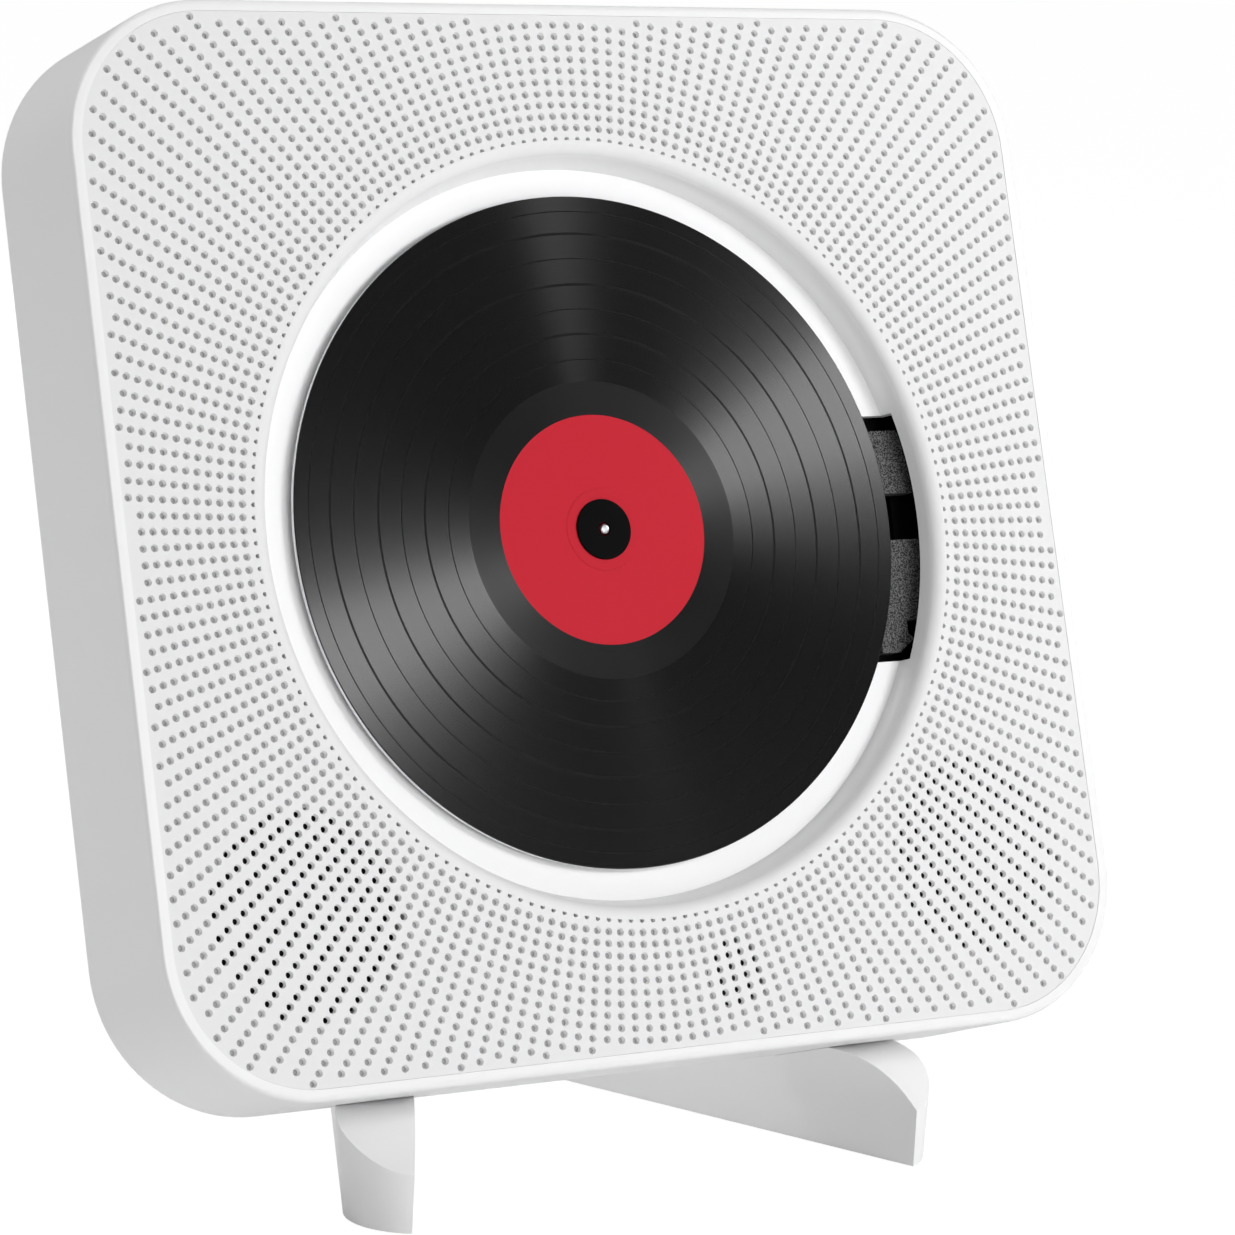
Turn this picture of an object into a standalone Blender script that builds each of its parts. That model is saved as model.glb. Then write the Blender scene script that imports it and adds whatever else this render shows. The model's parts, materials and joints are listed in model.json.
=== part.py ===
# Wall-mountable CD player standing on two plug-in feet.
#
# The player is modelled in its own upright face frame: X to the right, Y from the
# front face towards the back (called depth here), Z up, origin at the middle of the
# front face. One empty leans that whole frame back and lifts it, so that the feet
# stand on the ground plane. Lengths are metres.

import math

import bmesh
import bpy
from mathutils import Matrix, Vector

# Body
body_width = 0.190
body_height = 0.188
body_depth = 0.030
corner_radius = 0.0267
side_flare = 0.0007
edge_rounding = 0.0012
wall = 0.0024
corner_steps = 7
rounding_steps = 3
half_width = body_width / 2
half_height = body_height / 2

# Fits
fit_gap = 0.0003
overrun = 0.0010
merge_distance = fit_gap / 30
sharp_angle = math.radians(35)

# Stand
lean_angle = math.radians(20.0)
underside_clearance = 0.02547
pad_proud = 0.0004

# Front: perforated fascia set into the rim, over a plain baffle
rim_width = 0.0026
fascia_setback = 0.0005
fascia_thickness = 0.0018
baffle_thickness = 0.0020
hole_radius = 0.00075
hole_sides = 5
ray_count = 50
ray_phase = 0.25
ring_pitch = 0.00621
first_ring_border = 0.00227
edge_margin = 0.0012

# Disc well; its border to the body's edge stays the same on a larger body
well_border = 0.0258
body_oblong = 0.0010
lip_width = 0.0039
well_depth = 0.0064
tray_floor = 0.0020
tray_flange_width = 0.0038
tray_flange = 0.0018
hub_opening_radius = 0.0175
lathe_steps = 60
small_steps = 20
lip_radius = min(half_width, half_height + body_oblong) - well_border
well_radius = lip_radius - lip_width
tray_flange_radius = lip_radius + tray_flange_width
first_ring_radius = lip_radius + first_ring_border

# Window in the well floor, measured from the hub's centre
window_top = 0.0188
window_bottom = 0.0266
window_undercut = 0.0028
window_start = 0.0100
window_radius = well_radius + window_undercut

# Disc
disc_clearance = 0.0053
disc_radius = well_radius - disc_clearance
disc_bore_radius = 0.0075
disc_thickness = 0.0012
disc_depth = 0.0043
disc_edge = 0.0002

# Turntable and spindle motor
hub_post_radius = 0.0072
hub_post_proud = 0.0004
hub_flange_radius = 0.0130
hub_flange = 0.0012
hub_boss_radius = 0.0040
cap_radius = 0.0054
cap_thickness = 0.0007
shaft_radius = 0.0009
shaft_proud = 0.0004
motor_radius = 0.0120
motor_height = 0.0080
motor_rounding = 0.0010

# Deck chassis, hung under the tray
chassis_drop = 0.0015
chassis_thickness = 0.0020
chassis_left = 0.0240
chassis_overreach = 0.0068
chassis_right = lip_radius + chassis_overreach
chassis_top = 0.0265
chassis_bottom = 0.0340
chassis_corner = 0.0040
tab_half_width = 0.0090
tab_drop = 0.0075
slot_half_height = 0.0042
slot_margin = 0.0070
shaft_hole_radius = 0.0052

# Grey plates at the window's outer end
plate_setback = 0.0002
plate_width = 0.0110
plate_gap = 0.0006
plate_radius = window_radius - plate_gap
plate_start = plate_radius - plate_width
upper_plate_top = 0.0160
plate_inner_edge = 0.0043
lower_plate_bottom = 0.0192
toe_bottom = 0.0250
toe_chamfer = 0.0024
toe_notch = 0.0022

# Pickup and its guides
lens_rest_radius = 0.0235
lens_end_margin = 0.0025
lens_travel = disc_radius - lens_rest_radius - lens_end_margin
sled_length = 0.0210
sled_width = 0.0300
sled_height = 0.0062
rod_radius = 0.0015
rod_offset = 0.0118
post_start = 0.0074
post_length = 0.0042
post_width = 0.0062
post_floor = 0.0010
tower_size = 0.0074
tower_rise = 0.0030
holder_size = 0.0066
holder_height = 0.0013
holder_gap = 0.0005
lens_radius = 0.0023
lens_height = 0.0006

# Feed gears
gear_module = 0.0008
pinion_teeth = 10
gear_teeth = 22
motor_pinion_teeth = 8
tooth_backlash_share = 0.12
tooth_root_share = 1.2
tooth_tip_share = 0.85
flank_foot_share = 0.36
flank_tip_share = 0.13
gear_thickness = 0.0016
rack_height = 0.0030
rack_overlap = 0.0042
axle_radius = 0.0010
gear_sleeve_radius = 0.0026
feed_motor_radius = 0.0064
feed_motor_height = 0.0062

# Rubber dampers between tray and chassis
damper_radius = 0.0031
damper_waist = 0.0021
damper_flange = 0.0011
stud_radius = 0.0010
damper_inset = 0.0165
damper_right = chassis_right - damper_inset
damper_places = [(-0.0190, 0.0215), (-0.0190, -0.0290),
                 (damper_right, 0.0222), (damper_right, -0.0298)]

# Speakers
speaker_side_border = 0.0275
speaker_bottom_border = 0.0310
speaker_x = half_width - speaker_side_border
speaker_z = half_height - speaker_bottom_border
speaker_radius = 0.0186
speaker_opening = 0.0168
speaker_flange = 0.0015
basket_depth = 0.0088
basket_wall = 0.0012
dust_cap_radius = 0.0050
cone_wall = 0.0006
magnet_radius = 0.0110
magnet_height = 0.0060

# Rear cover and its screws
cover_thickness = 0.0020
cover_setback = 0.0004
boss_radius = 0.0035
upper_boss_border_x = 0.0150
upper_boss_border_z = 0.0160
lower_boss_border_x = 0.0128
lower_boss_border_z = 0.0140
screw_radius = 0.0012
screw_head_radius = 0.0026
screw_head_height = 0.0011
screw_length = 0.0080
vent_length = 0.0300
vent_height = 0.0022
vent_pitch = 0.0060
vent_count = 5
vent_z = -0.0300
keyhole_drop = 0.0380
keyhole_z = half_height - keyhole_drop
keyhole_radius = 0.0048
keyhole_slot = 0.0024
keyhole_rise = 0.0090
hanger_width = 0.0300
hanger_height = 0.0280
hanger_thickness = 0.0010
hanger_recess = 0.0003

# Top buttons
button_count = 7
button_pitch = 0.0150
button_length = 0.0100
button_width = 0.0052
button_proud = 0.0009
button_flange = 0.0010
button_flange_margin = 0.0009
button_depth = body_depth / 2
button_travel = 0.0006
button_stem = 0.0016
button_stem_radius = 0.0012
switch_size = 0.0050
switch_height = 0.0020
shelf_thickness = 0.0020
shelf_width = 0.0040

# Boards and side sockets
board_thickness = 0.0014
main_board_left = 0.0060
main_board_border = 0.0050
main_board_drop = 0.0200
main_board_height = 0.0410
main_board_right = half_width - main_board_border
main_board_top = half_height - main_board_drop
main_board_bottom = main_board_top - main_board_height
board_clearance = 0.0050
chip_size = 0.0110
chip_height = 0.0014
chip_shares = (0.25, 0.55)
socket_length = 0.0110
slider_drop = 0.0045
usb_drop = 0.0140
audio_drop = 0.0240
dc_drop = 0.0340
slider_z = main_board_top - slider_drop
usb_socket_z = main_board_top - usb_drop
audio_socket_z = main_board_top - audio_drop
dc_socket_z = main_board_top - dc_drop
dc_bore_share = 0.8
audio_bore_share = 0.5
socket_height = 0.0070
socket_wall = 0.0012
socket_face_set = 0.0004
slider_length = 0.0050
slider_travel = 0.0020
slider_knob = 0.0022
board_post_radius = 0.0024
upper_post_inset_x = 0.0240
upper_post_inset_z = 0.0035
lower_post_inset_x = 0.0160
lower_post_inset_z = 0.0040
board_post_places = [(main_board_left + upper_post_inset_x, main_board_top - upper_post_inset_z),
                     (main_board_right - lower_post_inset_x,
                      main_board_bottom + lower_post_inset_z)]
receiver_x = 0.0140
receiver_border = 0.0140
receiver_place = (receiver_x, receiver_border - half_height)
receiver_opening = 0.0062
receiver_board = 0.0136
receiver_size = 0.0060
receiver_proud = 0.0012

# Feet
foot_half_gap = 0.0507
foot_setback = 0.00115
foot_splay = math.radians(26.0)
foot_length = 0.0880
foot_height = 0.0182
foot_front_edge = 0.0103
foot_nose_length = 0.0170
foot_thickness = 0.0116
foot_widening = 0.0020
foot_draft = 0.0020
foot_nose_plan = 0.0104
foot_flat_end = 0.0400
foot_tail_start = 0.0450
foot_tail_start_height = 0.0100
foot_tail_height = 0.0072
foot_tail_radius = 0.0040
foot_seat_run = 0.0150
foot_arc_steps = 8
tongue_x = 0.0475
tongue_half_width = 0.0025
tongue_setback = 0.0042
tongue_run = 0.0056
tongue_back = body_depth - tongue_setback
tongue_front = tongue_back - tongue_run
tongue_reach = 0.0115
tongue_root = 0.0070
pad_start = 0.0120
pad_end = 0.0800
pad_inset = 0.0028
pad_width = 0.0058
pad_recess = 0.0008

# Colours: linear red, green, blue, then roughness and metallic
finishes = {
    "white_plastic": ((0.86, 0.86, 0.86), 0.42, 0.0),
    "black_plastic": ((0.012, 0.012, 0.013), 0.45, 0.0),
    "grey_plate": ((0.11, 0.11, 0.115), 0.70, 0.0),
    "disc_print": ((0.010, 0.010, 0.011), 0.25, 0.0),
    "red_plastic": ((0.58, 0.035, 0.055), 0.40, 0.0),
    "steel": ((0.60, 0.60, 0.61), 0.28, 1.0),
    "brass": ((0.70, 0.52, 0.25), 0.35, 1.0),
    "rubber": ((0.025, 0.025, 0.027), 0.80, 0.0),
    "circuit_board": ((0.02, 0.12, 0.05), 0.50, 0.0),
    "paper_cone": ((0.03, 0.03, 0.032), 0.85, 0.0),
    "lens_glass": ((0.25, 0.30, 0.42), 0.05, 0.0),
    "gear_nylon": ((0.80, 0.79, 0.74), 0.45, 0.0),
}

# Sizes that follow from the driving dimensions
fascia_back = fascia_setback + fascia_thickness
baffle_front = fascia_back + fit_gap
baffle_back = baffle_front + baffle_thickness
inner_half_width = half_width - wall
inner_half_height = half_height - wall
tray_back = well_depth + tray_floor
disc_back = disc_depth + disc_thickness
chassis_front = tray_back + chassis_drop
chassis_back = chassis_front + chassis_thickness
sled_front = chassis_back + 2 * fit_gap
rod_depth = sled_front + sled_height / 2
rod_start = post_start + post_floor
outer_post_start = lens_rest_radius + lens_travel + sled_length / 2 + 3 * fit_gap
rod_end = outer_post_start + post_length - post_floor
pinion_radius = gear_module * pinion_teeth / 2
gear_radius = gear_module * gear_teeth / 2
motor_pinion_radius = gear_module * motor_pinion_teeth / 2
rack_line = -(sled_width / 2 + rack_height)
gear_centre = (lens_rest_radius + lens_travel / 2, rack_line - pinion_radius)
motor_centre = (gear_centre[0], gear_centre[1] - gear_radius - motor_pinion_radius)
rack_depth = sled_front + 3 * fit_gap
gear_depth = sled_front + sled_height + overrun
cover_back = body_depth - cover_setback
cover_front = cover_back - cover_thickness
main_board_depth = cover_front - board_clearance - board_thickness
cosine = math.cos(lean_angle)
sine = math.sin(lean_angle)

# The front-most point is the rounded bottom front edge, the rear-most the rounded top
# back edge; the ground origin lies midway between them.
back_half_height = half_height + side_flare
front_reach = edge_rounding * cosine - (half_height - edge_rounding) * sine - edge_rounding
back_reach = ((body_depth - edge_rounding) * cosine
              + (back_half_height - edge_rounding) * sine + edge_rounding)
centre_shift = -(front_reach + back_reach) / 2
lift = pad_proud + underside_clearance + half_height * cosine
foot_front = half_height * sine - foot_setback


# Scene bookkeeping

def clear_scene():
    for old in list(bpy.data.objects):
        bpy.data.objects.remove(old, do_unlink=True)


def new_collection(name):
    collection = bpy.data.collections.new(name)
    bpy.context.scene.collection.children.link(collection)
    return collection


def make_material(name):
    colour, roughness, metallic = finishes[name]
    material = bpy.data.materials.new(name)
    material.use_nodes = True
    shader = material.node_tree.nodes["Principled BSDF"]
    shader.inputs["Base Color"].default_value = (*colour, 1.0)
    shader.inputs["Roughness"].default_value = roughness
    shader.inputs["Metallic"].default_value = metallic
    material.diffuse_color = (*colour, 1.0)
    return material


def place(piece, finish, parent):
    """Put a finished object in the player's collection, with its own material."""
    parts.objects.link(piece)
    piece.parent = parent
    if finish not in materials:
        materials[finish] = make_material(finish)
    piece.data.materials.clear()
    piece.data.materials.append(materials[finish])
    return piece


def place_cutter(piece, parent):
    cutters.objects.link(piece)
    piece.parent = parent
    piece.hide_render = True
    piece.display_type = 'WIRE'
    return piece


def mesh_object(name, shape):
    """Turn a bmesh into an object whose faces point out."""
    bmesh.ops.recalc_face_normals(shape, faces=shape.faces)
    mesh = bpy.data.meshes.new(name)
    shape.to_mesh(mesh)
    shape.free()
    mesh.shade_smooth()
    mesh.set_sharp_from_angle(angle=sharp_angle)
    return bpy.data.objects.new(name, mesh)


def combine(piece, cutter, operation='DIFFERENCE'):
    modifier = piece.modifiers.new(operation.lower(), 'BOOLEAN')
    modifier.operation = operation
    modifier.solver = 'EXACT'
    modifier.object = cutter
    return piece


# Outlines, as lists of (x, z) points

def arc(centre, radius_x, radius_z, start, end, steps):
    points = []
    for index in range(steps + 1):
        angle = math.radians(start + (end - start) * index / steps)
        points.append((centre[0] + radius_x * math.cos(angle),
                       centre[1] + radius_z * math.sin(angle)))
    return points


def rounded_box(half_x, half_z, radius, steps=corner_steps, centre=(0, 0)):
    points = []
    for quarter, (side_x, side_z) in enumerate(((1, 1), (-1, 1), (-1, -1), (1, -1))):
        corner = (centre[0] + side_x * (half_x - radius), centre[1] + side_z * (half_z - radius))
        points += arc(corner, radius, radius, 90 * quarter, 90 * quarter + 90, steps)
    return points


def circle(radius, centre=(0, 0), sides=small_steps, phase=0.0):
    return [(centre[0] + radius * math.cos(2 * math.pi * i / sides + phase),
             centre[1] + radius * math.sin(2 * math.pi * i / sides + phase))
            for i in range(sides)]


def tooth_corners(root, tip):
    """Corners of one straight-flanked tooth: share of the pitch and height."""
    return ((-flank_foot_share, root), (-flank_tip_share, tip),
            (flank_tip_share, tip), (flank_foot_share, root))


def gear_outline(teeth, phase=0.0):
    """Straight-flanked spur gear whose first tooth points up, turned by the phase."""
    pitch_radius = gear_module * teeth / 2
    root = pitch_radius - tooth_root_share * gear_module
    tip = pitch_radius + tooth_tip_share * gear_module
    pitch = 2 * math.pi / teeth
    points = []
    for tooth in range(teeth):
        centre = math.pi / 2 + phase + tooth * pitch
        for share, radius in tooth_corners(root, tip):
            angle = centre + share * (1 - tooth_backlash_share) * pitch
            points.append((radius * math.cos(angle), radius * math.sin(angle)))
    return points


# Solid makers; depth runs from the front face towards the back

def plate(name, outline, front, back, holes=()):
    """A flat outline in the face plane, from one depth to another, with any holes."""
    curve = bpy.data.curves.new(name, 'CURVE')
    curve.dimensions = '2D'
    curve.fill_mode = 'BOTH'
    curve.extrude = (back - front) / 2
    for points in (outline, *holes):
        spline = curve.splines.new('POLY')
        spline.points.add(len(points) - 1)
        for point, (x, z) in zip(spline.points, points):
            point.co = (x, z, 0, 1)
        spline.use_cyclic_u = True
    drawing = bpy.data.objects.new(name + "_outline", curve)
    drawing.rotation_euler = (math.radians(90), 0, 0)
    drawing.location = (0, (front + back) / 2, 0)
    bpy.context.scene.collection.objects.link(drawing)
    bpy.context.view_layer.update()
    evaluated = drawing.evaluated_get(bpy.context.evaluated_depsgraph_get())
    mesh = bpy.data.meshes.new_from_object(evaluated)
    mesh.name = name
    shape = bmesh.new()
    shape.from_mesh(mesh)
    bmesh.ops.remove_doubles(shape, verts=shape.verts, dist=merge_distance)
    bmesh.ops.recalc_face_normals(shape, faces=shape.faces)
    shape.to_mesh(mesh)
    shape.free()
    piece = bpy.data.objects.new(name, mesh)
    piece.matrix_world = drawing.matrix_world
    bpy.data.objects.remove(drawing, do_unlink=True)
    return piece


def lathe(name, profile, closed, centre=(0, 0), steps=small_steps):
    """Turn (radius, depth) points about a line that runs from front to back.

    The profile runs from the front, out and back along the outer side."""
    mesh = bpy.data.meshes.new(name)
    count = len(profile)
    edges = [(i, i + 1) for i in range(count - 1)]
    if closed:
        edges.append((count - 1, 0))
    mesh.from_pydata([(radius, 0, -depth) for radius, depth in profile], edges, [])
    piece = bpy.data.objects.new(name, mesh)
    piece.location = (centre[0], 0, centre[1])
    piece.rotation_euler = (math.radians(90), 0, 0)
    screw = piece.modifiers.new("turn", 'SCREW')
    screw.axis = 'Z'
    screw.angle = 2 * math.pi
    screw.steps = steps
    screw.render_steps = steps
    screw.use_merge_vertices = True
    screw.merge_threshold = merge_distance
    return piece


def cylinder(name, radius, front, back, centre=(0, 0), steps=small_steps):
    profile = [(0, front), (radius, front), (radius, back), (0, back)]
    return lathe(name, profile, False, centre, steps)


def loft(name, rings):
    """Bridge equal rings of points in order and close both ends."""
    shape = bmesh.new()
    loops = [[shape.verts.new(point) for point in ring] for ring in rings]
    count = len(rings[0])
    for first, second in zip(loops, loops[1:]):
        for i in range(count):
            j = (i + 1) % count
            shape.faces.new((first[i], first[j], second[j], second[i]))
    shape.faces.new(loops[0])
    shape.faces.new(loops[-1])
    return mesh_object(name, shape)


def block(name, low, high, bevel=0.0, segments=2):
    """A box between two corners, with its edges rounded if asked."""
    shape = bmesh.new()
    size = Vector(high) - Vector(low)
    bmesh.ops.create_cube(shape, size=1.0, matrix=Matrix.Diagonal((*size, 1.0)))
    piece = mesh_object(name, shape)
    piece.location = (Vector(low) + Vector(high)) / 2
    if bevel:
        rounding = piece.modifiers.new("rounding", 'BEVEL')
        rounding.width = bevel
        rounding.segments = segments
    return piece


def rod(name, radius, start, end, steps=12):
    """A round bar between two points."""
    start, end = Vector(start), Vector(end)
    shape = bmesh.new()
    turn = (end - start).to_track_quat('Z', 'Y').to_matrix().to_4x4()
    bmesh.ops.create_cone(shape, cap_ends=True, segments=steps, radius1=radius,
                          radius2=radius, depth=(end - start).length, matrix=turn)
    piece = mesh_object(name, shape)
    piece.location = (start + end) / 2
    return piece


# Front shell: rim, side walls and baffle in one moulding

def outline_at(inset, depth):
    """The body's outline at a depth, drawn in from the outer wall by the inset."""
    flare = side_flare * min(max(depth / body_depth, 0), 1)
    half_x = half_width + flare - inset
    half_z = half_height + flare - inset
    radius = max(corner_radius + flare - inset, edge_rounding)
    return [(x, depth, z) for x, z in rounded_box(half_x, half_z, radius)]


def edge_rings(depth_of, forward):
    """Rings round a quarter-circle edge, from the flat face out to the side wall."""
    rings = []
    for step in range(rounding_steps + 1):
        angle = math.pi / 2 * step / rounding_steps
        inset = edge_rounding * (1 - math.sin(angle))
        rings.append(outline_at(inset, depth_of(edge_rounding * (1 - math.cos(angle)))))
    return rings if forward else rings[::-1]


def front_shell():
    rings = [outline_at(rim_width, baffle_front), outline_at(rim_width, 0.0)]
    rings += edge_rings(lambda offset: offset, True)
    rings += edge_rings(lambda offset: body_depth - offset, False)
    rings += [outline_at(wall, body_depth), outline_at(wall, baffle_back)]
    shell = place(loft("front_shell", rings), "white_plastic", lean)
    for index, (x, z) in enumerate(boss_centres()):
        boss = cylinder("boss_%d" % index, boss_radius, baffle_back - overrun,
                        cover_front - fit_gap, (x, z), 12)
        combine(shell, place_cutter(boss, lean), 'UNION')
        pilot = cylinder("pilot_%d" % index, screw_radius + fit_gap,
                         cover_back - screw_length - overrun, body_depth, (x, z), 12)
        combine(shell, place_cutter(pilot, lean))
    well = cylinder("well_opening", lip_radius + fit_gap, -overrun,
                    baffle_back + overrun, steps=lathe_steps)
    combine(shell, place_cutter(well, lean))
    openings = [((side * speaker_x, -speaker_z), speaker_opening) for side in (-1, 1)]
    openings.append((receiver_place, receiver_opening))
    for centre, radius in openings:
        opening = cylinder("baffle_opening", radius, baffle_front - overrun,
                           baffle_back + overrun, centre)
        combine(shell, place_cutter(opening, lean))
    for centre in board_post_places:
        post = cylinder("board_post", board_post_radius, baffle_back - overrun,
                        main_board_depth - fit_gap, centre, 10)
        combine(shell, place_cutter(post, lean), 'UNION')
    for side in (-1, 1):
        end = side * (button_board_reach() - fit_gap)
        top = button_board_top() - board_thickness - fit_gap
        shelf = block("board_shelf", (min(end, end - side * shelf_width),
                                      baffle_back - overrun, top - shelf_thickness),
                      (max(end, end - side * shelf_width), button_depth + switch_size, top))
        combine(shell, place_cutter(shelf, lean), 'UNION')
        slot = block("foot_slot",
                     (side * tongue_x - tongue_half_width - fit_gap, tongue_front - fit_gap,
                      -back_half_height - overrun),
                     (side * tongue_x + tongue_half_width + fit_gap, tongue_back + fit_gap,
                      -inner_half_height + overrun))
        combine(shell, place_cutter(slot, lean))
    for x in button_places():
        hole = block("button_hole",
                     (x - button_length / 2 - fit_gap, button_depth - button_width / 2 - fit_gap,
                      inner_half_height - overrun),
                     (x + button_length / 2 + fit_gap, button_depth + button_width / 2 + fit_gap,
                      back_half_height + overrun))
        combine(shell, place_cutter(hole, lean))
    for z in (dc_socket_z, audio_socket_z, usb_socket_z, slider_z):
        hole = block("socket_hole", (inner_half_width - overrun, socket_low() - fit_gap,
                                     z - socket_height / 2 - fit_gap),
                     (half_width + side_flare + overrun, socket_high() + fit_gap,
                      z + socket_height / 2 + fit_gap))
        combine(shell, place_cutter(hole, lean))
    return shell


def boss_centres():
    upper_x, upper_z = half_width - upper_boss_border_x, half_height - upper_boss_border_z
    lower_x, lower_z = half_width - lower_boss_border_x, half_height - lower_boss_border_z
    return [(-upper_x, upper_z), (upper_x, upper_z), (-lower_x, -lower_z), (lower_x, -lower_z)]


def button_places():
    first = -button_pitch * (button_count - 1) / 2
    return [first + button_pitch * i for i in range(button_count)]


def button_stem_end():
    return inner_half_height - fit_gap - button_flange - button_stem


def button_board_top():
    return button_stem_end() - button_travel - fit_gap - switch_height


def button_board_reach():
    return button_pitch * button_count / 2


def socket_high():
    return main_board_depth - fit_gap


def socket_low():
    return socket_high() - socket_height


# Perforated fascia: rays of holes between the well and the rim

def fascia_reach(angle):
    """Distance from the hub to the fascia's edge along a ray."""
    inset = rim_width + fit_gap + edge_margin + hole_radius
    half_x, half_z = half_width - inset, half_height - inset
    radius = corner_radius - inset
    across, up = abs(math.cos(angle)), abs(math.sin(angle))
    straight = min(half_x / max(across, merge_distance), half_z / max(up, merge_distance))
    centre_x, centre_z = half_x - radius, half_z - radius
    if straight * across <= centre_x or straight * up <= centre_z:
        return straight
    along = centre_x * across + centre_z * up
    return along + math.sqrt(along ** 2 - centre_x ** 2 - centre_z ** 2 + radius ** 2)


def grille_panel():
    inset = rim_width + fit_gap
    outline = rounded_box(half_width - inset, half_height - inset, corner_radius - inset)
    holes = [circle(lip_radius + fit_gap, sides=lathe_steps)]
    for ray in range(ray_count):
        angle = 2 * math.pi * (ray + ray_phase) / ray_count
        reach = fascia_reach(angle)
        for ring in range(1 + math.floor((reach - first_ring_radius) / ring_pitch)):
            radius = first_ring_radius + ring * ring_pitch
            centre = (radius * math.cos(angle), radius * math.sin(angle))
            holes.append(circle(hole_radius, centre, hole_sides, angle))
    panel = plate("grille_panel", outline, fascia_setback, fascia_back, holes)
    return place(panel, "white_plastic", lean)


# Disc tray: rolled lip and floor, with the pickup window

def disc_tray():
    lip_height = well_depth - fascia_setback
    lip = [(lip_radius - lip_width * math.sin(a), well_depth - lip_height * math.cos(a))
           for a in (math.radians(90 * (4 - i) / 4) for i in range(5))]
    flange_front = baffle_back + fit_gap
    profile = [(hub_opening_radius, well_depth)] + lip
    profile += [(lip_radius, flange_front), (tray_flange_radius, flange_front),
                (tray_flange_radius, flange_front + tray_flange),
                (lip_radius, flange_front + tray_flange),
                (lip_radius - tray_floor, tray_back), (hub_opening_radius, tray_back)]
    tray = place(lathe("disc_tray", profile, True, steps=lathe_steps), "white_plastic", lean)
    top = math.degrees(math.asin(window_top / window_radius))
    bottom = math.degrees(math.asin(window_bottom / window_radius))
    outline = [(window_start, window_top), (window_start, -window_bottom)]
    outline += arc((0, 0), window_radius, window_radius, -bottom, top, small_steps)
    window = plate("window", outline, well_depth - lip_height / 2, tray_back + overrun)
    combine(tray, place_cutter(window, lean))
    for index, centre in enumerate(damper_places):
        stud = cylinder("stud_%d" % index, stud_radius, tray_back - tray_floor / 2,
                        damper_back() + overrun, centre, 8)
        combine(tray, place_cutter(stud, lean), 'UNION')
    return tray


def damper_back():
    return chassis_back + fit_gap + damper_flange


# Disc and turntable

def disc():
    front, back = disc_depth, disc_back
    profile = [(disc_bore_radius, front), (disc_radius - disc_edge, front),
               (disc_radius, front + disc_edge),
               (disc_radius, back - disc_edge),
               (disc_radius - disc_edge, back), (disc_bore_radius, back)]
    return place(lathe("disc", profile, True, steps=lathe_steps), "disc_print", lean)


def turntable():
    flange_front = disc_back + fit_gap
    post_front = disc_depth - hub_post_proud
    bore = shaft_radius + fit_gap
    boss_back = chassis_back - fit_gap
    profile = [(bore, post_front), (hub_post_radius - hub_post_proud, post_front),
               (hub_post_radius, disc_depth), (hub_post_radius, flange_front),
               (hub_flange_radius, flange_front),
               (hub_flange_radius, flange_front + hub_flange),
               (hub_boss_radius, flange_front + hub_flange),
               (hub_boss_radius, boss_back), (bore, boss_back)]
    place(lathe("turntable", profile, True, steps=32), "red_plastic", lean)
    cap_back = post_front - fit_gap
    cap_front = cap_back - cap_thickness
    cap = [(bore, cap_front), (cap_radius - cap_thickness / 2, cap_front),
           (cap_radius, cap_front + cap_thickness / 2), (cap_radius, cap_back),
           (bore, cap_back)]
    place(lathe("hub_cap", cap, True, steps=32), "black_plastic", lean)
    shaft_front = cap_front - shaft_proud
    shaft_back = chassis_back + fit_gap + motor_height / 2
    shaft = [(0, shaft_front), (shaft_radius / 2, shaft_front),
             (shaft_radius, shaft_front + shaft_radius / 2), (shaft_radius, shaft_back),
             (0, shaft_back)]
    place(lathe("spindle_shaft", shaft, False, steps=12), "steel", lean)


def spindle_motor():
    front = chassis_back + fit_gap
    back = front + motor_height
    bore = shaft_radius + fit_gap
    profile = [(bore, front), (motor_radius, front),
               (motor_radius, back - motor_rounding),
               (motor_radius - motor_rounding, back), (0, back),
               (0, front + motor_height / 2 + fit_gap),
               (bore, front + motor_height / 2 + fit_gap)]
    motor = lathe("spindle_motor", profile, False, steps=24)
    motor.data.clear_geometry()
    count = len(profile)
    edges = [(i, (i + 1) % count) for i in range(count) if i != 4]
    motor.data.from_pydata([(radius, 0, -depth) for radius, depth in profile], edges, [])
    return place(motor, "steel", lean)


# Deck chassis, its grey plates and dampers

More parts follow.
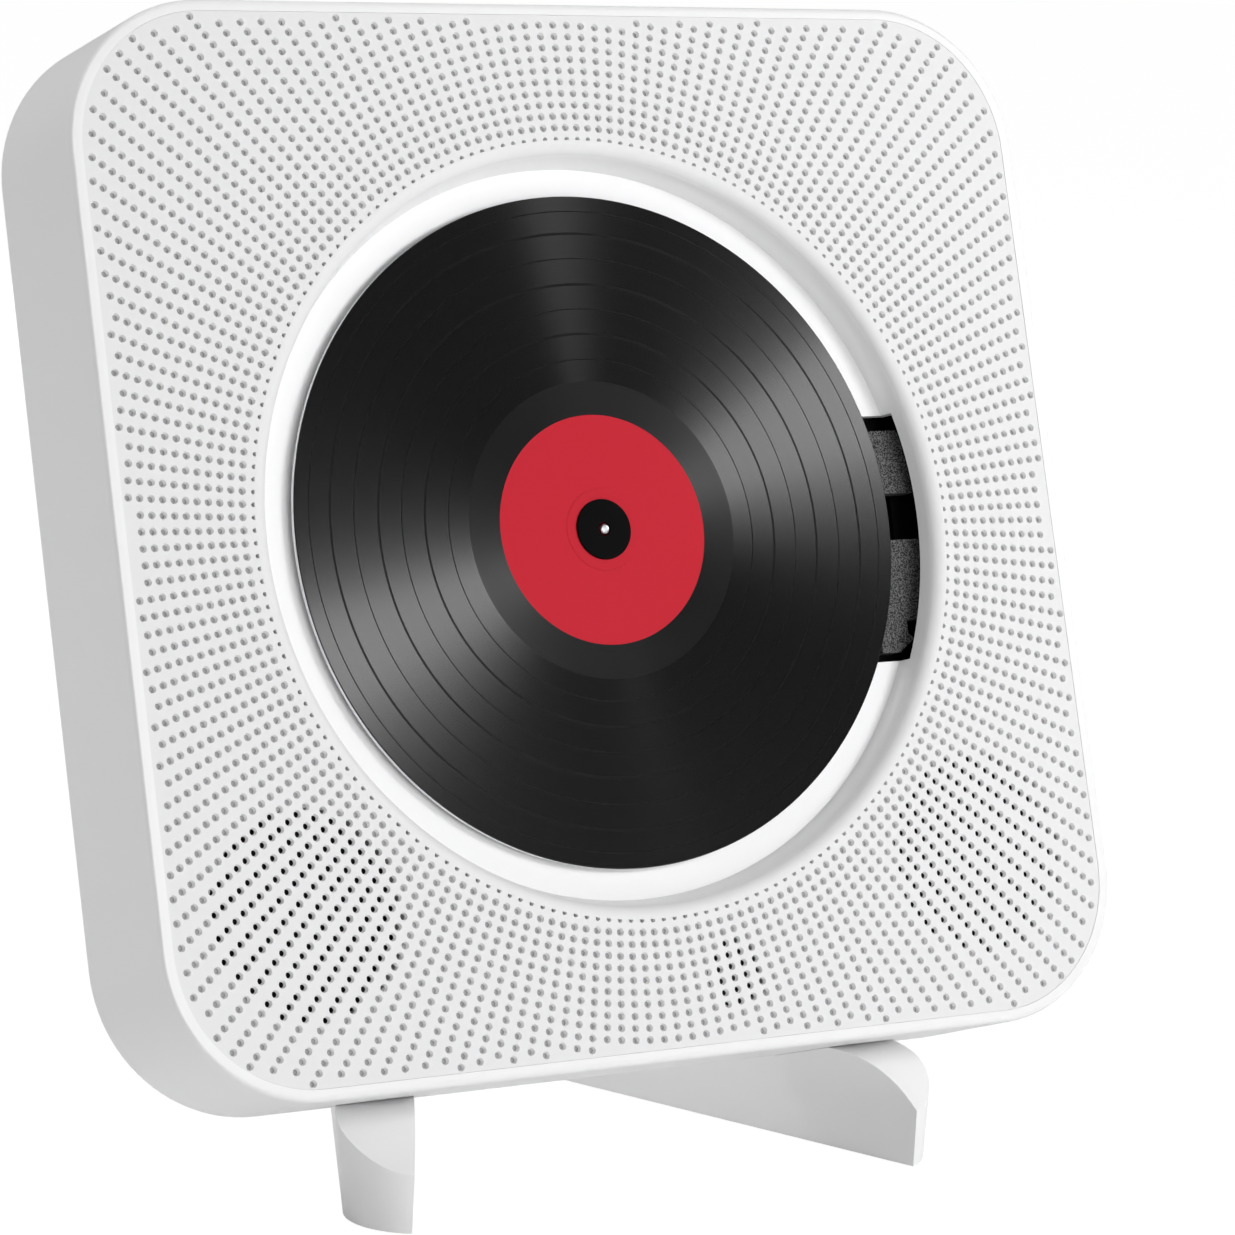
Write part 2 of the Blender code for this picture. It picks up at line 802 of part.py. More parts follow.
def deck_chassis():
    left, right, top, bottom = -chassis_left, chassis_right, chassis_top, -chassis_bottom
    centre = ((left + right) / 2, (top + bottom) / 2)
    outline = rounded_box((right - left) / 2, (top - bottom) / 2, chassis_corner, 3, centre)
    slot_start = lens_rest_radius - slot_margin
    slot_end = lens_rest_radius + lens_travel + slot_margin
    slot = [(slot_start, slot_half_height), (slot_end, slot_half_height),
            (slot_end, -slot_half_height), (slot_start, -slot_half_height)]
    holes = [circle(shaft_hole_radius), slot, circle(axle_radius + fit_gap, gear_centre, 10)]
    holes += [circle(damper_waist + fit_gap, place_at, 12) for place_at in damper_places]
    chassis = plate("deck_chassis", outline, chassis_front, chassis_back, holes)
    place(chassis, "black_plastic", lean)
    tab = block("motor_tab", (motor_centre[0] - tab_half_width, chassis_front,
                              bottom - tab_drop),
                (motor_centre[0] + tab_half_width, chassis_back, bottom + overrun))
    combine(chassis, place_cutter(tab, lean), 'UNION')
    for z in (-rod_offset, rod_offset):
        for x in (post_start, outer_post_start):
            post = block("rod_post", (x, chassis_back - overrun / 2, z - post_width / 2),
                         (x + post_length, rod_depth + post_width / 2, z + post_width / 2))
            clear = cylinder("motor_clear", motor_radius + fit_gap, chassis_back,
                             chassis_back + motor_height, steps=24)
            combine(post, place_cutter(clear, lean))
            combine(chassis, place_cutter(post, lean), 'UNION')
        bore = rod("rod_bore", rod_radius + fit_gap, (rod_start - fit_gap, rod_depth, z),
                   (rod_end + fit_gap, rod_depth, z))
        combine(chassis, place_cutter(bore, lean))
    return chassis


def plate_edge(z):
    """How far right the plates' round outer edge lies at a height."""
    return math.sqrt(plate_radius ** 2 - z ** 2)


def deck_plates():
    front = well_depth + plate_setback
    back = chassis_front - fit_gap
    top = math.degrees(math.asin(upper_plate_top / plate_radius))
    edge = math.degrees(math.asin(plate_inner_edge / plate_radius))
    low = math.degrees(math.asin(lower_plate_bottom / plate_radius))
    upper = [(plate_start, plate_inner_edge)]
    upper += arc((0, 0), plate_radius, plate_radius, edge, top, 4)
    upper.append((plate_start, upper_plate_top))
    place(plate("deck_plate_upper", upper, front, back), "grey_plate", lean)
    lower = arc((0, 0), plate_radius, plate_radius, -low, -edge, 5)
    lower.append((plate_start, -plate_inner_edge))
    notch_x = plate_edge(lower_plate_bottom) - toe_notch
    lower += [(plate_start, -toe_bottom), (plate_edge(toe_bottom) - toe_chamfer, -toe_bottom),
              (plate_edge(toe_bottom - toe_chamfer), toe_chamfer - toe_bottom),
              (notch_x, -lower_plate_bottom - toe_chamfer), (notch_x, -lower_plate_bottom)]
    place(plate("deck_plate_lower", lower, front, back), "grey_plate", lean)


def dampers():
    front = tray_back + fit_gap
    neck = chassis_front - fit_gap
    bore = stud_radius + fit_gap
    waist_back = chassis_back + fit_gap
    profile = [(bore, front), (damper_radius, front), (damper_radius, neck),
               (damper_waist, neck), (damper_waist, waist_back),
               (damper_radius, waist_back), (damper_radius, damper_back()),
               (bore, damper_back())]
    for index, centre in enumerate(damper_places):
        damper = lathe("damper_%d" % (index + 1), profile, True, centre, 12)
        place(damper, "rubber", lean)


# Pickup sled, guide rods, rack and feed gears

def guide_rods():
    for name, z in (("guide_rod_upper", rod_offset), ("guide_rod_lower", -rod_offset)):
        place(rod(name, rod_radius, (rod_start, rod_depth, z), (rod_end, rod_depth, z)),
              "steel", lean)


def rack_outline():
    """Rack below the sled, with a gap over the gear's upright tooth at rest."""
    pitch = math.pi * gear_module
    start = gear_centre[0] - lens_travel - rack_overlap
    end = gear_centre[0] + rack_overlap
    join_start = lens_rest_radius - sled_length / 2 + fit_gap
    join_end = lens_rest_radius + sled_length / 2 - fit_gap
    join = -sled_width / 2 + overrun
    top = -sled_width / 2 - fit_gap
    root = rack_line + tooth_root_share * gear_module
    tip = rack_line - tooth_tip_share * gear_module
    first = math.ceil((start - gear_centre[0]) / pitch)
    last = math.floor((end - gear_centre[0]) / pitch)
    points = [(end, top), (join_end, top), (join_end, join), (join_start, join),
              (join_start, top), (start, top), (start, root)]
    for tooth in range(first, last):
        centre = gear_centre[0] + (tooth + 0.5) * pitch
        for share, height in tooth_corners(root, tip):
            points.append((centre + share * (1 - tooth_backlash_share) * pitch, height))
    points.append((end, root))
    return points


def pickup_sled():
    x, half = lens_rest_radius, sled_length / 2
    sled = block("pickup_sled", (x - half, sled_front, -sled_width / 2),
                 (x + half, sled_front + sled_height, sled_width / 2))
    place(sled, "black_plastic", lean)
    tower = block("lens_tower", (x - tower_size / 2, sled_front - tower_rise, -tower_size / 2),
                  (x + tower_size / 2, sled_front + overrun, tower_size / 2))
    combine(sled, place_cutter(tower, lean), 'UNION')
    rack = loft("rack", [[(x_at, depth, z_at) for x_at, z_at in rack_outline()]
                         for depth in (rack_depth, rack_depth + gear_thickness)])
    combine(sled, place_cutter(rack, lean), 'UNION')
    for z in (-rod_offset, rod_offset):
        bore = rod("sled_bore", rod_radius + fit_gap, (x - sled_length, rod_depth, z),
                   (x + sled_length, rod_depth, z))
        combine(sled, place_cutter(bore, lean))
    holder_back = sled_front - tower_rise - holder_gap
    holder_front = holder_back - holder_height
    holder = block("lens_holder", (x - holder_size / 2, holder_front, -holder_size / 2),
                   (x + holder_size / 2, holder_back, holder_size / 2))
    place(holder, "black_plastic", lean)
    seat = cylinder("lens_seat", lens_radius + fit_gap, holder_front - overrun,
                    holder_front + lens_height, (x, 0), 16)
    combine(holder, place_cutter(seat, lean))
    dome = [(0, holder_front - lens_height)]
    dome += [(lens_radius * math.sin(a), holder_front - lens_height * math.cos(a))
             for a in (math.radians(30), math.radians(60))]
    dome += [(lens_radius, holder_front),
             (lens_radius, holder_front + lens_height - fit_gap),
             (0, holder_front + lens_height - fit_gap)]
    place(lathe("pickup_lens", dome, False, (x, 0), 16), "lens_glass", lean)


def feed_gears():
    half_tooth = math.pi / motor_pinion_teeth
    bore = [circle(axle_radius + fit_gap, sides=10)]
    pinion_back = rack_depth + gear_thickness
    gear = plate("feed_gear", gear_outline(gear_teeth), gear_depth,
                 gear_depth + gear_thickness, bore)
    gear.location.x, gear.location.z = gear_centre
    place(gear, "gear_nylon", lean)
    pinion = plate("pinion", gear_outline(pinion_teeth), rack_depth - fit_gap, pinion_back, bore)
    sleeve = plate("sleeve", circle(gear_sleeve_radius, sides=14), pinion_back - fit_gap,
                   gear_depth + fit_gap, bore)
    for piece in (pinion, sleeve):
        piece.location.x, piece.location.z = gear_centre
        combine(gear, place_cutter(piece, lean), 'UNION')
    axle_front = chassis_front
    axle_back = gear_depth + gear_thickness + fit_gap
    place(cylinder("gear_axle", axle_radius, axle_front, axle_back, gear_centre, 10),
          "steel", lean)
    motor_front = chassis_back + fit_gap
    motor_back = motor_front + feed_motor_height
    motor = [(0, motor_front), (feed_motor_radius, motor_front),
             (feed_motor_radius, motor_back - motor_rounding),
             (feed_motor_radius - motor_rounding, motor_back), (0, motor_back)]
    place(lathe("feed_motor", motor, False, motor_centre, 20), "steel", lean)
    small = plate("motor_pinion", gear_outline(motor_pinion_teeth, half_tooth), gear_depth,
                  gear_depth + gear_thickness)
    small.location.x, small.location.z = motor_centre
    place(small, "brass", lean)
    stub = cylinder("pinion_shaft", axle_radius, motor_back + fit_gap,
                    gear_depth + overrun / 2, motor_centre, 10)
    combine(small, place_cutter(stub, lean), 'UNION')


# Speakers behind the baffle

def speakers():
    front = baffle_back + fit_gap
    flange_back = front + speaker_flange
    basket_back = front + basket_depth
    frame = [(speaker_opening, front), (speaker_radius, front), (speaker_radius, flange_back),
             (speaker_opening + basket_wall, flange_back), (magnet_radius, basket_back),
             (dust_cap_radius, basket_back), (dust_cap_radius, basket_back - basket_wall),
             (magnet_radius - basket_wall, basket_back - basket_wall),
             (speaker_opening, flange_back)]
    cone_radius = speaker_opening - fit_gap
    cone_back = front + basket_depth / 2
    cone = [(0, cone_back - dust_cap_radius / 3),
            (dust_cap_radius / 2, cone_back - dust_cap_radius / 4),
            (dust_cap_radius, cone_back), (cone_radius - 3 * cone_wall, front + cone_wall),
            (cone_radius - cone_wall, front), (cone_radius, front + cone_wall),
            (cone_radius - 2 * cone_wall, front + 2 * cone_wall),
            (dust_cap_radius, cone_back + 2 * cone_wall), (0, cone_back + cone_wall)]
    magnet_front = basket_back + fit_gap
    for name, side in (("left", -1), ("right", 1)):
        centre = (side * speaker_x, -speaker_z)
        place(lathe(name + "_speaker_frame", frame, True, centre, 24), "black_plastic", lean)
        place(lathe(name + "_speaker_cone", cone, False, centre, 24), "paper_cone", lean)
        magnet = cylinder(name + "_speaker_magnet", magnet_radius, magnet_front,
                          magnet_front + magnet_height, centre, 20)
        place(magnet, "steel", lean)


# Rear cover, hanger plate and screws

def keyhole_outline(margin=0.0):
    """Round entry with a narrower slot above it, as one outline."""
    entry, slot = keyhole_radius + margin, keyhole_slot + margin
    meet = math.degrees(math.acos(slot / entry))
    points = arc((0, keyhole_z), entry, entry, 180 - meet, 360 + meet, 14)
    points += arc((0, keyhole_z + keyhole_rise), slot, slot, 0, 180, 6)
    return points


def rear_cover():
    inset = wall + fit_gap
    outline = rounded_box(half_width - inset, half_height - inset, corner_radius - inset)
    holes = [circle(screw_radius + fit_gap, centre, 12) for centre in boss_centres()]
    holes.append(keyhole_outline(wall))
    for index in range(vent_count):
        z = vent_z - index * vent_pitch
        holes.append(rounded_box(vent_length, vent_height / 2, vent_height / 2, 3, (0, z)))
    cover = plate("rear_cover", outline, cover_front, cover_back, holes)
    place(cover, "white_plastic", lean)
    for centre in boss_centres():
        sink = cylinder("screw_sink", screw_head_radius + fit_gap,
                        cover_back - screw_head_height, cover_back + overrun, centre, 12)
        combine(cover, place_cutter(sink, lean))
    recess_front = cover_back - hanger_thickness - hanger_recess
    recess = plate("hanger_recess",
                   rounded_box(hanger_width / 2 + fit_gap, hanger_height / 2 + fit_gap, wall, 3,
                               (0, keyhole_z + keyhole_rise / 2)),
                   recess_front - fit_gap, cover_back + overrun)
    combine(cover, place_cutter(recess, lean))
    hanger = plate("hanger_plate",
                   rounded_box(hanger_width / 2, hanger_height / 2, wall, 3,
                               (0, keyhole_z + keyhole_rise / 2)),
                   recess_front, recess_front + hanger_thickness, [keyhole_outline()])
    place(hanger, "steel", lean)


def cover_screws():
    head_front = cover_back - screw_head_height + fit_gap
    tip = cover_back - screw_length
    profile = [(0, tip), (screw_radius / 2, tip), (screw_radius, tip + screw_radius),
               (screw_radius, head_front), (screw_head_radius, head_front),
               (screw_head_radius, cover_back - fit_gap), (0, cover_back - fit_gap)]
    for index, centre in enumerate(boss_centres()):
        place(lathe("cover_screw_%d" % (index + 1), profile, False, centre, 12),
              "steel", lean)


# Top buttons and their board

button_names = ("power", "source", "previous", "play", "next", "volume_down", "volume_up")


def buttons():
    top = half_height + side_flare * button_depth / body_depth + button_proud
    flange_top = inner_half_height - fit_gap
    flange_bottom = flange_top - button_flange
    for x, name in zip(button_places(), button_names):
        half_x, half_y = button_length / 2, button_width / 2
        button = block("button_" + name, (x - half_x, button_depth - half_y, flange_bottom),
                       (x + half_x, button_depth + half_y, top), button_proud / 2, 1)
        place(button, "white_plastic", lean)
        margin = button_flange_margin + fit_gap
        flange = block("button_flange", (x - half_x - margin, button_depth - half_y - margin,
                                         flange_bottom),
                       (x + half_x + margin, button_depth + half_y + margin, flange_top))
        combine(button, place_cutter(flange, lean), 'UNION')
        stem = rod("button_stem", button_stem_radius, (x, button_depth, button_stem_end()),
                   (x, button_depth, flange_bottom + overrun / 2), 8)
        combine(button, place_cutter(stem, lean), 'UNION')
    board_top = button_board_top()
    reach = button_board_reach()
    board = block("button_board", (-reach, button_depth - switch_size, board_top - board_thickness),
                  (reach, button_depth + switch_size, board_top))
    place(board, "circuit_board", lean)
    for x in button_places():
        switch = block("switch", (x - switch_size / 2, button_depth - switch_size / 2,
                                  board_top - board_thickness / 2),
                       (x + switch_size / 2, button_depth + switch_size / 2,
                        board_top + switch_height))
        combine(board, place_cutter(switch, lean), 'UNION')


# Main board with the side sockets, switch slider and infrared receiver

def main_board():
    outline = [(main_board_left, main_board_bottom), (main_board_right, main_board_bottom),
               (main_board_right, main_board_top), (main_board_left, main_board_top)]
    board = plate("main_board", outline, main_board_depth, main_board_depth + board_thickness)
    place(board, "circuit_board", lean)
    for share in chip_shares:
        x = main_board_left + share * (main_board_right - main_board_left)
        z = (main_board_bottom + main_board_top) / 2
        chip = block("chip", (x - chip_size / 2, main_board_depth - chip_height,
                              z - chip_size / 2),
                     (x + chip_size / 2, main_board_depth + board_thickness / 2,
                      z + chip_size / 2))
        combine(board, place_cutter(chip, lean), 'UNION')
    face = half_width - socket_face_set
    low, high = socket_low(), socket_high()
    middle = (low + high) / 2
    for name, z in (("dc_socket", dc_socket_z), ("audio_socket", audio_socket_z),
                    ("usb_socket", usb_socket_z)):
        half = socket_height / 2
        socket = block(name, (face - socket_length, low, z - half), (face, high, z + half))
        place(socket, "black_plastic", lean)
        bore_start = (face - socket_length + socket_wall, middle, z)
        bore_end = (face + overrun, middle, z)
        if name == "usb_socket":
            bore = block("usb_bore", (bore_start[0], low + 2 * socket_wall, z - half + socket_wall),
                         (bore_end[0], high - socket_wall, z + half - socket_wall))
        else:
            share = dc_bore_share if name == "dc_socket" else audio_bore_share
            bore = rod("socket_bore", share * (half - socket_wall / 2), bore_start, bore_end)
        combine(socket, place_cutter(bore, lean))
    half = socket_height / 2
    knob = block("power_slider", (face - slider_length, middle - slider_knob / 2,
                                  slider_z - slider_travel / 2 - slider_knob / 2),
                 (face, middle + slider_knob / 2, slider_z - slider_travel / 2 + slider_knob / 2))
    place(knob, "black_plastic", lean)
    housing = block("slider_housing", (face - socket_length, low, slider_z - half),
                    (face - socket_wall, high, slider_z + half))
    place(housing, "black_plastic", lean)
    channel = block("slider_channel",
                    (face - slider_length - fit_gap, middle - slider_knob / 2 - fit_gap,
                     slider_z - slider_travel / 2 - slider_knob / 2 - fit_gap),
                    (face + overrun, middle + slider_knob / 2 + fit_gap,
                     slider_z + slider_travel / 2 + slider_knob / 2 + fit_gap))
    combine(housing, place_cutter(channel, lean))


def ir_receiver():
    x, z = receiver_place
    front = baffle_back + fit_gap
    half = receiver_board / 2
    board = block("ir_receiver", (x - half, front, z - half),
                  (x + half, front + board_thickness, z + half))
    place(board, "black_plastic", lean)
    half = receiver_size / 2
    sensor = block("receiver_body", (x - half, front - receiver_proud, z - half),
                   (x + half, front + board_thickness / 2, z + half), receiver_proud / 2, 1)
    combine(board, place_cutter(sensor, lean), 'UNION')


# Feet: a drafted plan outline cut to a side outline, flush under the body

def foot_point(side, along, out, up):
    """World point of a foot: along its inner face, out from it, and up from its sole."""
    x = foot_half_gap - along * math.sin(foot_splay) + out * math.cos(foot_splay)
    y = centre_shift - foot_front + along * math.cos(foot_splay) + out * math.sin(foot_splay)
    return (side * x, y, up + pad_proud)


def foot_plan(thickness):
    """Straight inner face, quarter-ellipse nose and rounded tail, as (along, out)."""
    nose = [(foot_nose_plan * (1 - math.cos(a)), thickness * math.sin(a))
            for a in (math.pi / 2 * i / foot_arc_steps for i in range(foot_arc_steps + 1))]
    tail = [(foot_length - foot_tail_radius + foot_tail_radius * math.sin(a),
             thickness + foot_widening - foot_tail_radius + foot_tail_radius * math.cos(a))
            for a in (math.pi / 2 * i / 4 for i in range(5))]
    return nose + tail + [(foot_length, 0.0)]


def foot_side():
    """Upright front edge, round nose running level into the top, and falling tail."""
    rise = foot_height - foot_front_edge
    radius = (foot_nose_length ** 2 + rise ** 2) / (2 * rise)
    start = math.asin(foot_nose_length / radius)
    nose = [(foot_nose_length - radius * math.sin(a), foot_height - radius * (1 - math.cos(a)))
            for a in (start * (1 - i / foot_arc_steps) for i in range(foot_arc_steps + 1))]
    return [(-overrun, -overrun), (-overrun, foot_front_edge)] + nose + [
        (foot_flat_end, foot_height), (foot_tail_start, foot_tail_start_height),
        (foot_length + overrun, foot_tail_height), (foot_length + overrun, -overrun)]


def foot(name, side):
    thick_top = foot_thickness + foot_draft
    tall = foot_height + overrun
    bottom = [foot_point(side, along, out, 0.0) for along, out in foot_plan(foot_thickness)]
    top = [foot_point(side, along, out, tall) for along, out in foot_plan(thick_top)]
    piece = place(loft(name, [bottom, top]), "white_plastic", None)
    near = [foot_point(side, along, -overrun, up) for along, up in foot_side()]
    beyond = thick_top + foot_widening + overrun
    far = [foot_point(side, along, beyond, up) for along, up in foot_side()]
    combine(piece, place_cutter(loft(name + "_side", [near, far]), None), 'INTERSECT')
    seat = block(name + "_seat", (-half_width, -body_depth, -back_half_height - fit_gap),
                 (half_width, body_depth + foot_seat_run, 0))
    combine(piece, place_cutter(seat, lean))
    tongue = block(name + "_tongue",
                   (side * tongue_x - tongue_half_width, tongue_front,
                    -half_height - tongue_root),
                   (side * tongue_x + tongue_half_width, tongue_back,
                    -inner_half_height + tongue_reach))
    combine(piece, place_cutter(tongue, lean), 'UNION')
    pad_outline = [(pad_start, pad_inset), (pad_end, pad_inset),
                   (pad_end, pad_inset + pad_width), (pad_start, pad_inset + pad_width)]
    recess_outline = [(pad_start - fit_gap, pad_inset - fit_gap),
                      (pad_end + fit_gap, pad_inset - fit_gap),
                      (pad_end + fit_gap, pad_inset + pad_width + fit_gap),
                      (pad_start - fit_gap, pad_inset + pad_width + fit_gap)]
    recess = loft(name + "_recess", [[foot_point(side, a, o, up) for a, o in recess_outline]
                                     for up in (-overrun, pad_recess + fit_gap)])
    combine(piece, place_cutter(recess, None))
    pad = loft(name + "_pad", [[foot_point(side, a, o, up) for a, o in pad_outline]
                               for up in (-pad_proud, pad_recess)])
    place(pad, "rubber", None)
    anchor = lean.matrix_world @ Vector((side * tongue_x, (tongue_front + tongue_back) / 2,
                                         -half_height))
    for part in (piece, pad):
        part.data.transform(Matrix.Translation(-anchor))
        part.location = anchor


clear_scene()
parts = new_collection("wall_cd_player")
cutters = new_collection("cutters")
materials = {}
lean = bpy.data.objects.new("lean_frame", None)
lean.location = (0, centre_shift, lift)
lean.rotation_euler = (-lean_angle, 0, 0)
bpy.context.scene.collection.objects.link(lean)
bpy.context.view_layer.update()

front_shell()
grille_panel()
disc_tray()
disc()
turntable()
spindle_motor()
deck_chassis()
deck_plates()
dampers()
guide_rods()
pickup_sled()
feed_gears()
speakers()
rear_cover()
cover_screws()
buttons()
main_board()
ir_receiver()
foot("left_foot", -1)
foot("right_foot", 1)
bpy.context.view_layer.update()
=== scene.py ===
# The look of the CD player: fine mouldings, the perforated front, the record-style disc,
# the finishes of every visible part, the studio and the camera.

import json
import math

import bmesh
import bpy
from mathutils import Matrix, Quaternion, Vector


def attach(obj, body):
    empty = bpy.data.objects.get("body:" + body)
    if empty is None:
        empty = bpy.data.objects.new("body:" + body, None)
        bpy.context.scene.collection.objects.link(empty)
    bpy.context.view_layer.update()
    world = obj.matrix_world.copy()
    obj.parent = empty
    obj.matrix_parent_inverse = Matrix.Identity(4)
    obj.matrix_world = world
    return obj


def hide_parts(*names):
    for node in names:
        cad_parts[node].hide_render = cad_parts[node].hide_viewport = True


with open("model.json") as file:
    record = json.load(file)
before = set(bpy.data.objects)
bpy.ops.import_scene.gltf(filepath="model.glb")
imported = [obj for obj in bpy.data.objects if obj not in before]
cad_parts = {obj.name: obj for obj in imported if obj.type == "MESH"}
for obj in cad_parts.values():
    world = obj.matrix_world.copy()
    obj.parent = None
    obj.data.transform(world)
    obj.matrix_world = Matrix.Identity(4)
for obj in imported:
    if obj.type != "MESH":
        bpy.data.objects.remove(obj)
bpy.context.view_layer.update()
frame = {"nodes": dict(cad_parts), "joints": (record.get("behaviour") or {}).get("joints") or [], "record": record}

nodes = frame["nodes"]
joints = {joint["name"]: joint for joint in frame["joints"]}

# Camera, as read from the photograph's outlines
lens_mm = 134.25
camera_azimuth = math.radians(30.507)
camera_elevation = math.radians(11.100)
camera_roll = math.radians(2.968)
camera_distance = 0.81016
aim_from_hub = Vector((0.001346, -0.004219, -0.015062))

# Body
corner_radius = 0.0267
side_flare = 0.0007
edge_rounding = 0.00124
side_rounding = 0.0005
wall = 0.0024
rim_width = 0.0021
fit_gap = 0.0003
overrun = 0.0010
outline_steps = 24
rounding_steps = 8
sharp_angle = math.radians(35)

# Perforations
ray_count = 200
ring_pitch = 0.00207
ring_count = 32
first_ring_radius = 0.06940
hole_radius = 0.00070
hole_back_radius = 0.00050
first_hole_share = 0.62
hole_sides = 12
edge_margin = 0.0002
panel_setback = 0.0001
panel_thickness = 0.0008
cutter_overshoot = 0.0002
seam_gap = 0.00004
square_on = 0.999
side_on = 0.5

# Openings of the front shell
baffle_thickness = 0.0020
baffle_gap = 0.0008
speaker_margin = 0.0016
receiver_radius = 0.0062
key_flange_margin = 0.0012
tongue_centre = 0.0475
slot_half_width = 0.0028

# Well
well_steps = 200
lip_steps = 10
lip_radius = 0.0690
lip_flat = 0.0002
lip_shoulder = 0.0026
lip_paint_radius = 0.0668
well_radius = 0.0653
tray_floor = 0.0020
disc_clearance = 0.0009
hub_opening_radius = 0.0175
window_top = 0.0188
window_bottom = 0.0266
window_radius = 0.0681
window_front = 0.0040
window_start = 0.0100

# Disc print, as shares of the disc's radius
label_share = 0.342
band_share = 0.439
line_shares = ((0.954, 0.0022), (0.887, 0.0045), (0.812, 0.0022), (0.734, 0.0045),
               (0.660, 0.0022), (0.585, 0.0045), (0.509, 0.0022))
disc_steps = 192

# Hub, in front of and behind the disc
hub_steps = 96
hub_post_radius = 0.0073
shaft_bore_radius = 0.0012
post_proud = 0.00005
cap_proud = 0.0004
cap_rounding = 0.0002
tip_proud = 0.0003
tip_rounding = 0.0003
flange_radius = 0.0130
flange_chamfer = 0.0002
flange_thickness = 0.0012
boss_radius = 0.0040

# Rear cover and its screws
boss_hole_radius = 0.0029
vent_count = 5
vent_half_width = 0.030
vent_half_height = 0.0011
first_vent = -0.030
vent_pitch = 0.006
cover_edge = 0.00025
screw_head_radius = 0.0026
screw_head_height = 0.0008
screw_rounding = 0.0004
shank_radius = 0.0012
recess_long = 0.0014
recess_short = 0.0003
recess_depth = 0.0007

# Keys and the sockets' contacts
key_edge = 0.0004
mark_size = 0.0016
mark_line = 0.0003
mark_thickness = 0.00004
contact_start = 0.0012
pin_radius = 0.0006
pin_setback = 0.0015
ring_inner = 0.0016
ring_outer = 0.0022
ring_depth = 0.0003
usb_low = Vector((contact_start, 0.0002, -0.0016))
usb_high = Vector((-0.0010, 0.0010, 0.0016))
usb_edge = 0.0001

# Feet
foot_half_gap = 0.0507
foot_front = 0.0310
foot_splay = math.radians(26.0)
foot_length = 0.0880
foot_height = 0.0182
foot_front_edge = 0.0103
foot_nose_length = 0.0170
foot_thickness = 0.0116
foot_widening = 0.0020
foot_draft = 0.0020
foot_nose_plan = 0.0104
foot_flat_end = 0.0205
foot_back_edge = 0.0305
foot_back_edge_height = 0.0150
foot_tail_start = 0.0450
foot_tail_start_height = 0.0100
foot_tail_height = 0.0072
foot_tail_radius = 0.0040
foot_seat_run = 0.0006
foot_arc_steps = 10
foot_tail_steps = 8
foot_edge = 0.0009
tongue_front = 0.0202
tongue_back = 0.0258
tongue_half_width = 0.0025
tongue_reach = 0.0070
tongue_edge = 0.0003
pad_proud = 0.0004
pad_recess = 0.0008
pad_start = 0.0120
pad_end = 0.0800
pad_inset = 0.0028
pad_width = 0.0058

# Studio
ambient_strength = 0.30
mirrored_strength = 0.10
backdrop_strength = 1.0
floor_glow = 1.09
floor_glow_share = 0.88

# The face frame: X right, Y from the face into the body, Z up along the body
hub = Vector(joints["spindle_spin"]["pos_m"])
inward = Vector(joints["spindle_spin"]["axis"]).normalized()
rightward = Vector((1, 0, 0))
upward = rightward.cross(inward)
front_depth = min((vertex.co - hub).dot(inward) for vertex in nodes["front_shell"].data.vertices)
face_origin = hub + inward * front_depth
face_axes = Matrix((rightward, inward, upward)).transposed()
face_to_row = Matrix.Translation(face_origin) @ face_axes.to_4x4()
row_to_face = face_to_row.inverted()


def face_box(node):
    """Lowest and highest corner of a CAD node in the face frame."""
    points = [row_to_face @ vertex.co for vertex in nodes[node].data.vertices]
    low = Vector(min(point[axis] for point in points) for axis in range(3))
    high = Vector(max(point[axis] for point in points) for axis in range(3))
    return low, high


shell_high = face_box("front_shell")[1]
panel_high = face_box("grille_panel")[1]
cover_low, cover_high = face_box("rear_cover")
disc_low, disc_high = face_box("disc")
body_depth = shell_high.y
half_width = shell_high.x - side_flare
half_height = shell_high.z - side_flare
well_floor = disc_high.y + disc_clearance


# Geometry helpers

def arc(centre, radius, start, end, steps):
    angles = [math.radians(start + (end - start) * i / steps) for i in range(steps + 1)]
    return [(centre[0] + radius * math.cos(angle), centre[1] + radius * math.sin(angle))
            for angle in angles]


def quarter_turn(steps):
    return [math.pi / 2 * i / steps for i in range(steps + 1)]


def rounded_box(half_x, half_z, radius, steps=outline_steps, centre=(0, 0)):
    points = []
    for quarter, (side_x, side_z) in enumerate(((1, 1), (-1, 1), (-1, -1), (1, -1))):
        corner = (centre[0] + side_x * (half_x - radius), centre[1] + side_z * (half_z - radius))
        points += arc(corner, radius, 90 * quarter, 90 * quarter + 90, steps)
    return points


def circle(radius, centre=(0, 0), sides=48):
    return arc(centre, radius, 0, 360, sides)[:-1]


def shade_smooth(mesh):
    mesh.shade_smooth()
    mesh.set_sharp_from_angle(angle=sharp_angle)


def new_piece(name, shape):
    """Store a bmesh as a new object with smooth shading."""
    mesh = bpy.data.meshes.new(name)
    shape.to_mesh(mesh)
    shape.free()
    shade_smooth(mesh)
    piece = bpy.data.objects.new(name, mesh)
    bpy.context.scene.collection.objects.link(piece)
    return piece


def finish_mesh(name, shape):
    bmesh.ops.recalc_face_normals(shape, faces=shape.faces)
    return new_piece(name, shape)


def loft(name, rings, closed=False):
    """Bridge equal rings; a closed loft joins its last ring to its first."""
    shape = bmesh.new()
    loops = [[shape.verts.new(point) for point in ring] for ring in rings]
    pairs = list(zip(loops, loops[1:]))
    if closed:
        pairs.append((loops[-1], loops[0]))
    count = len(rings[0])
    for first, second in pairs:
        for i in range(count):
            j = (i + 1) % count
            shape.faces.new((first[i], first[j], second[j], second[i]))
    if not closed:
        shape.faces.new(loops[0])
        shape.faces.new(loops[-1])
    return finish_mesh(name, shape)


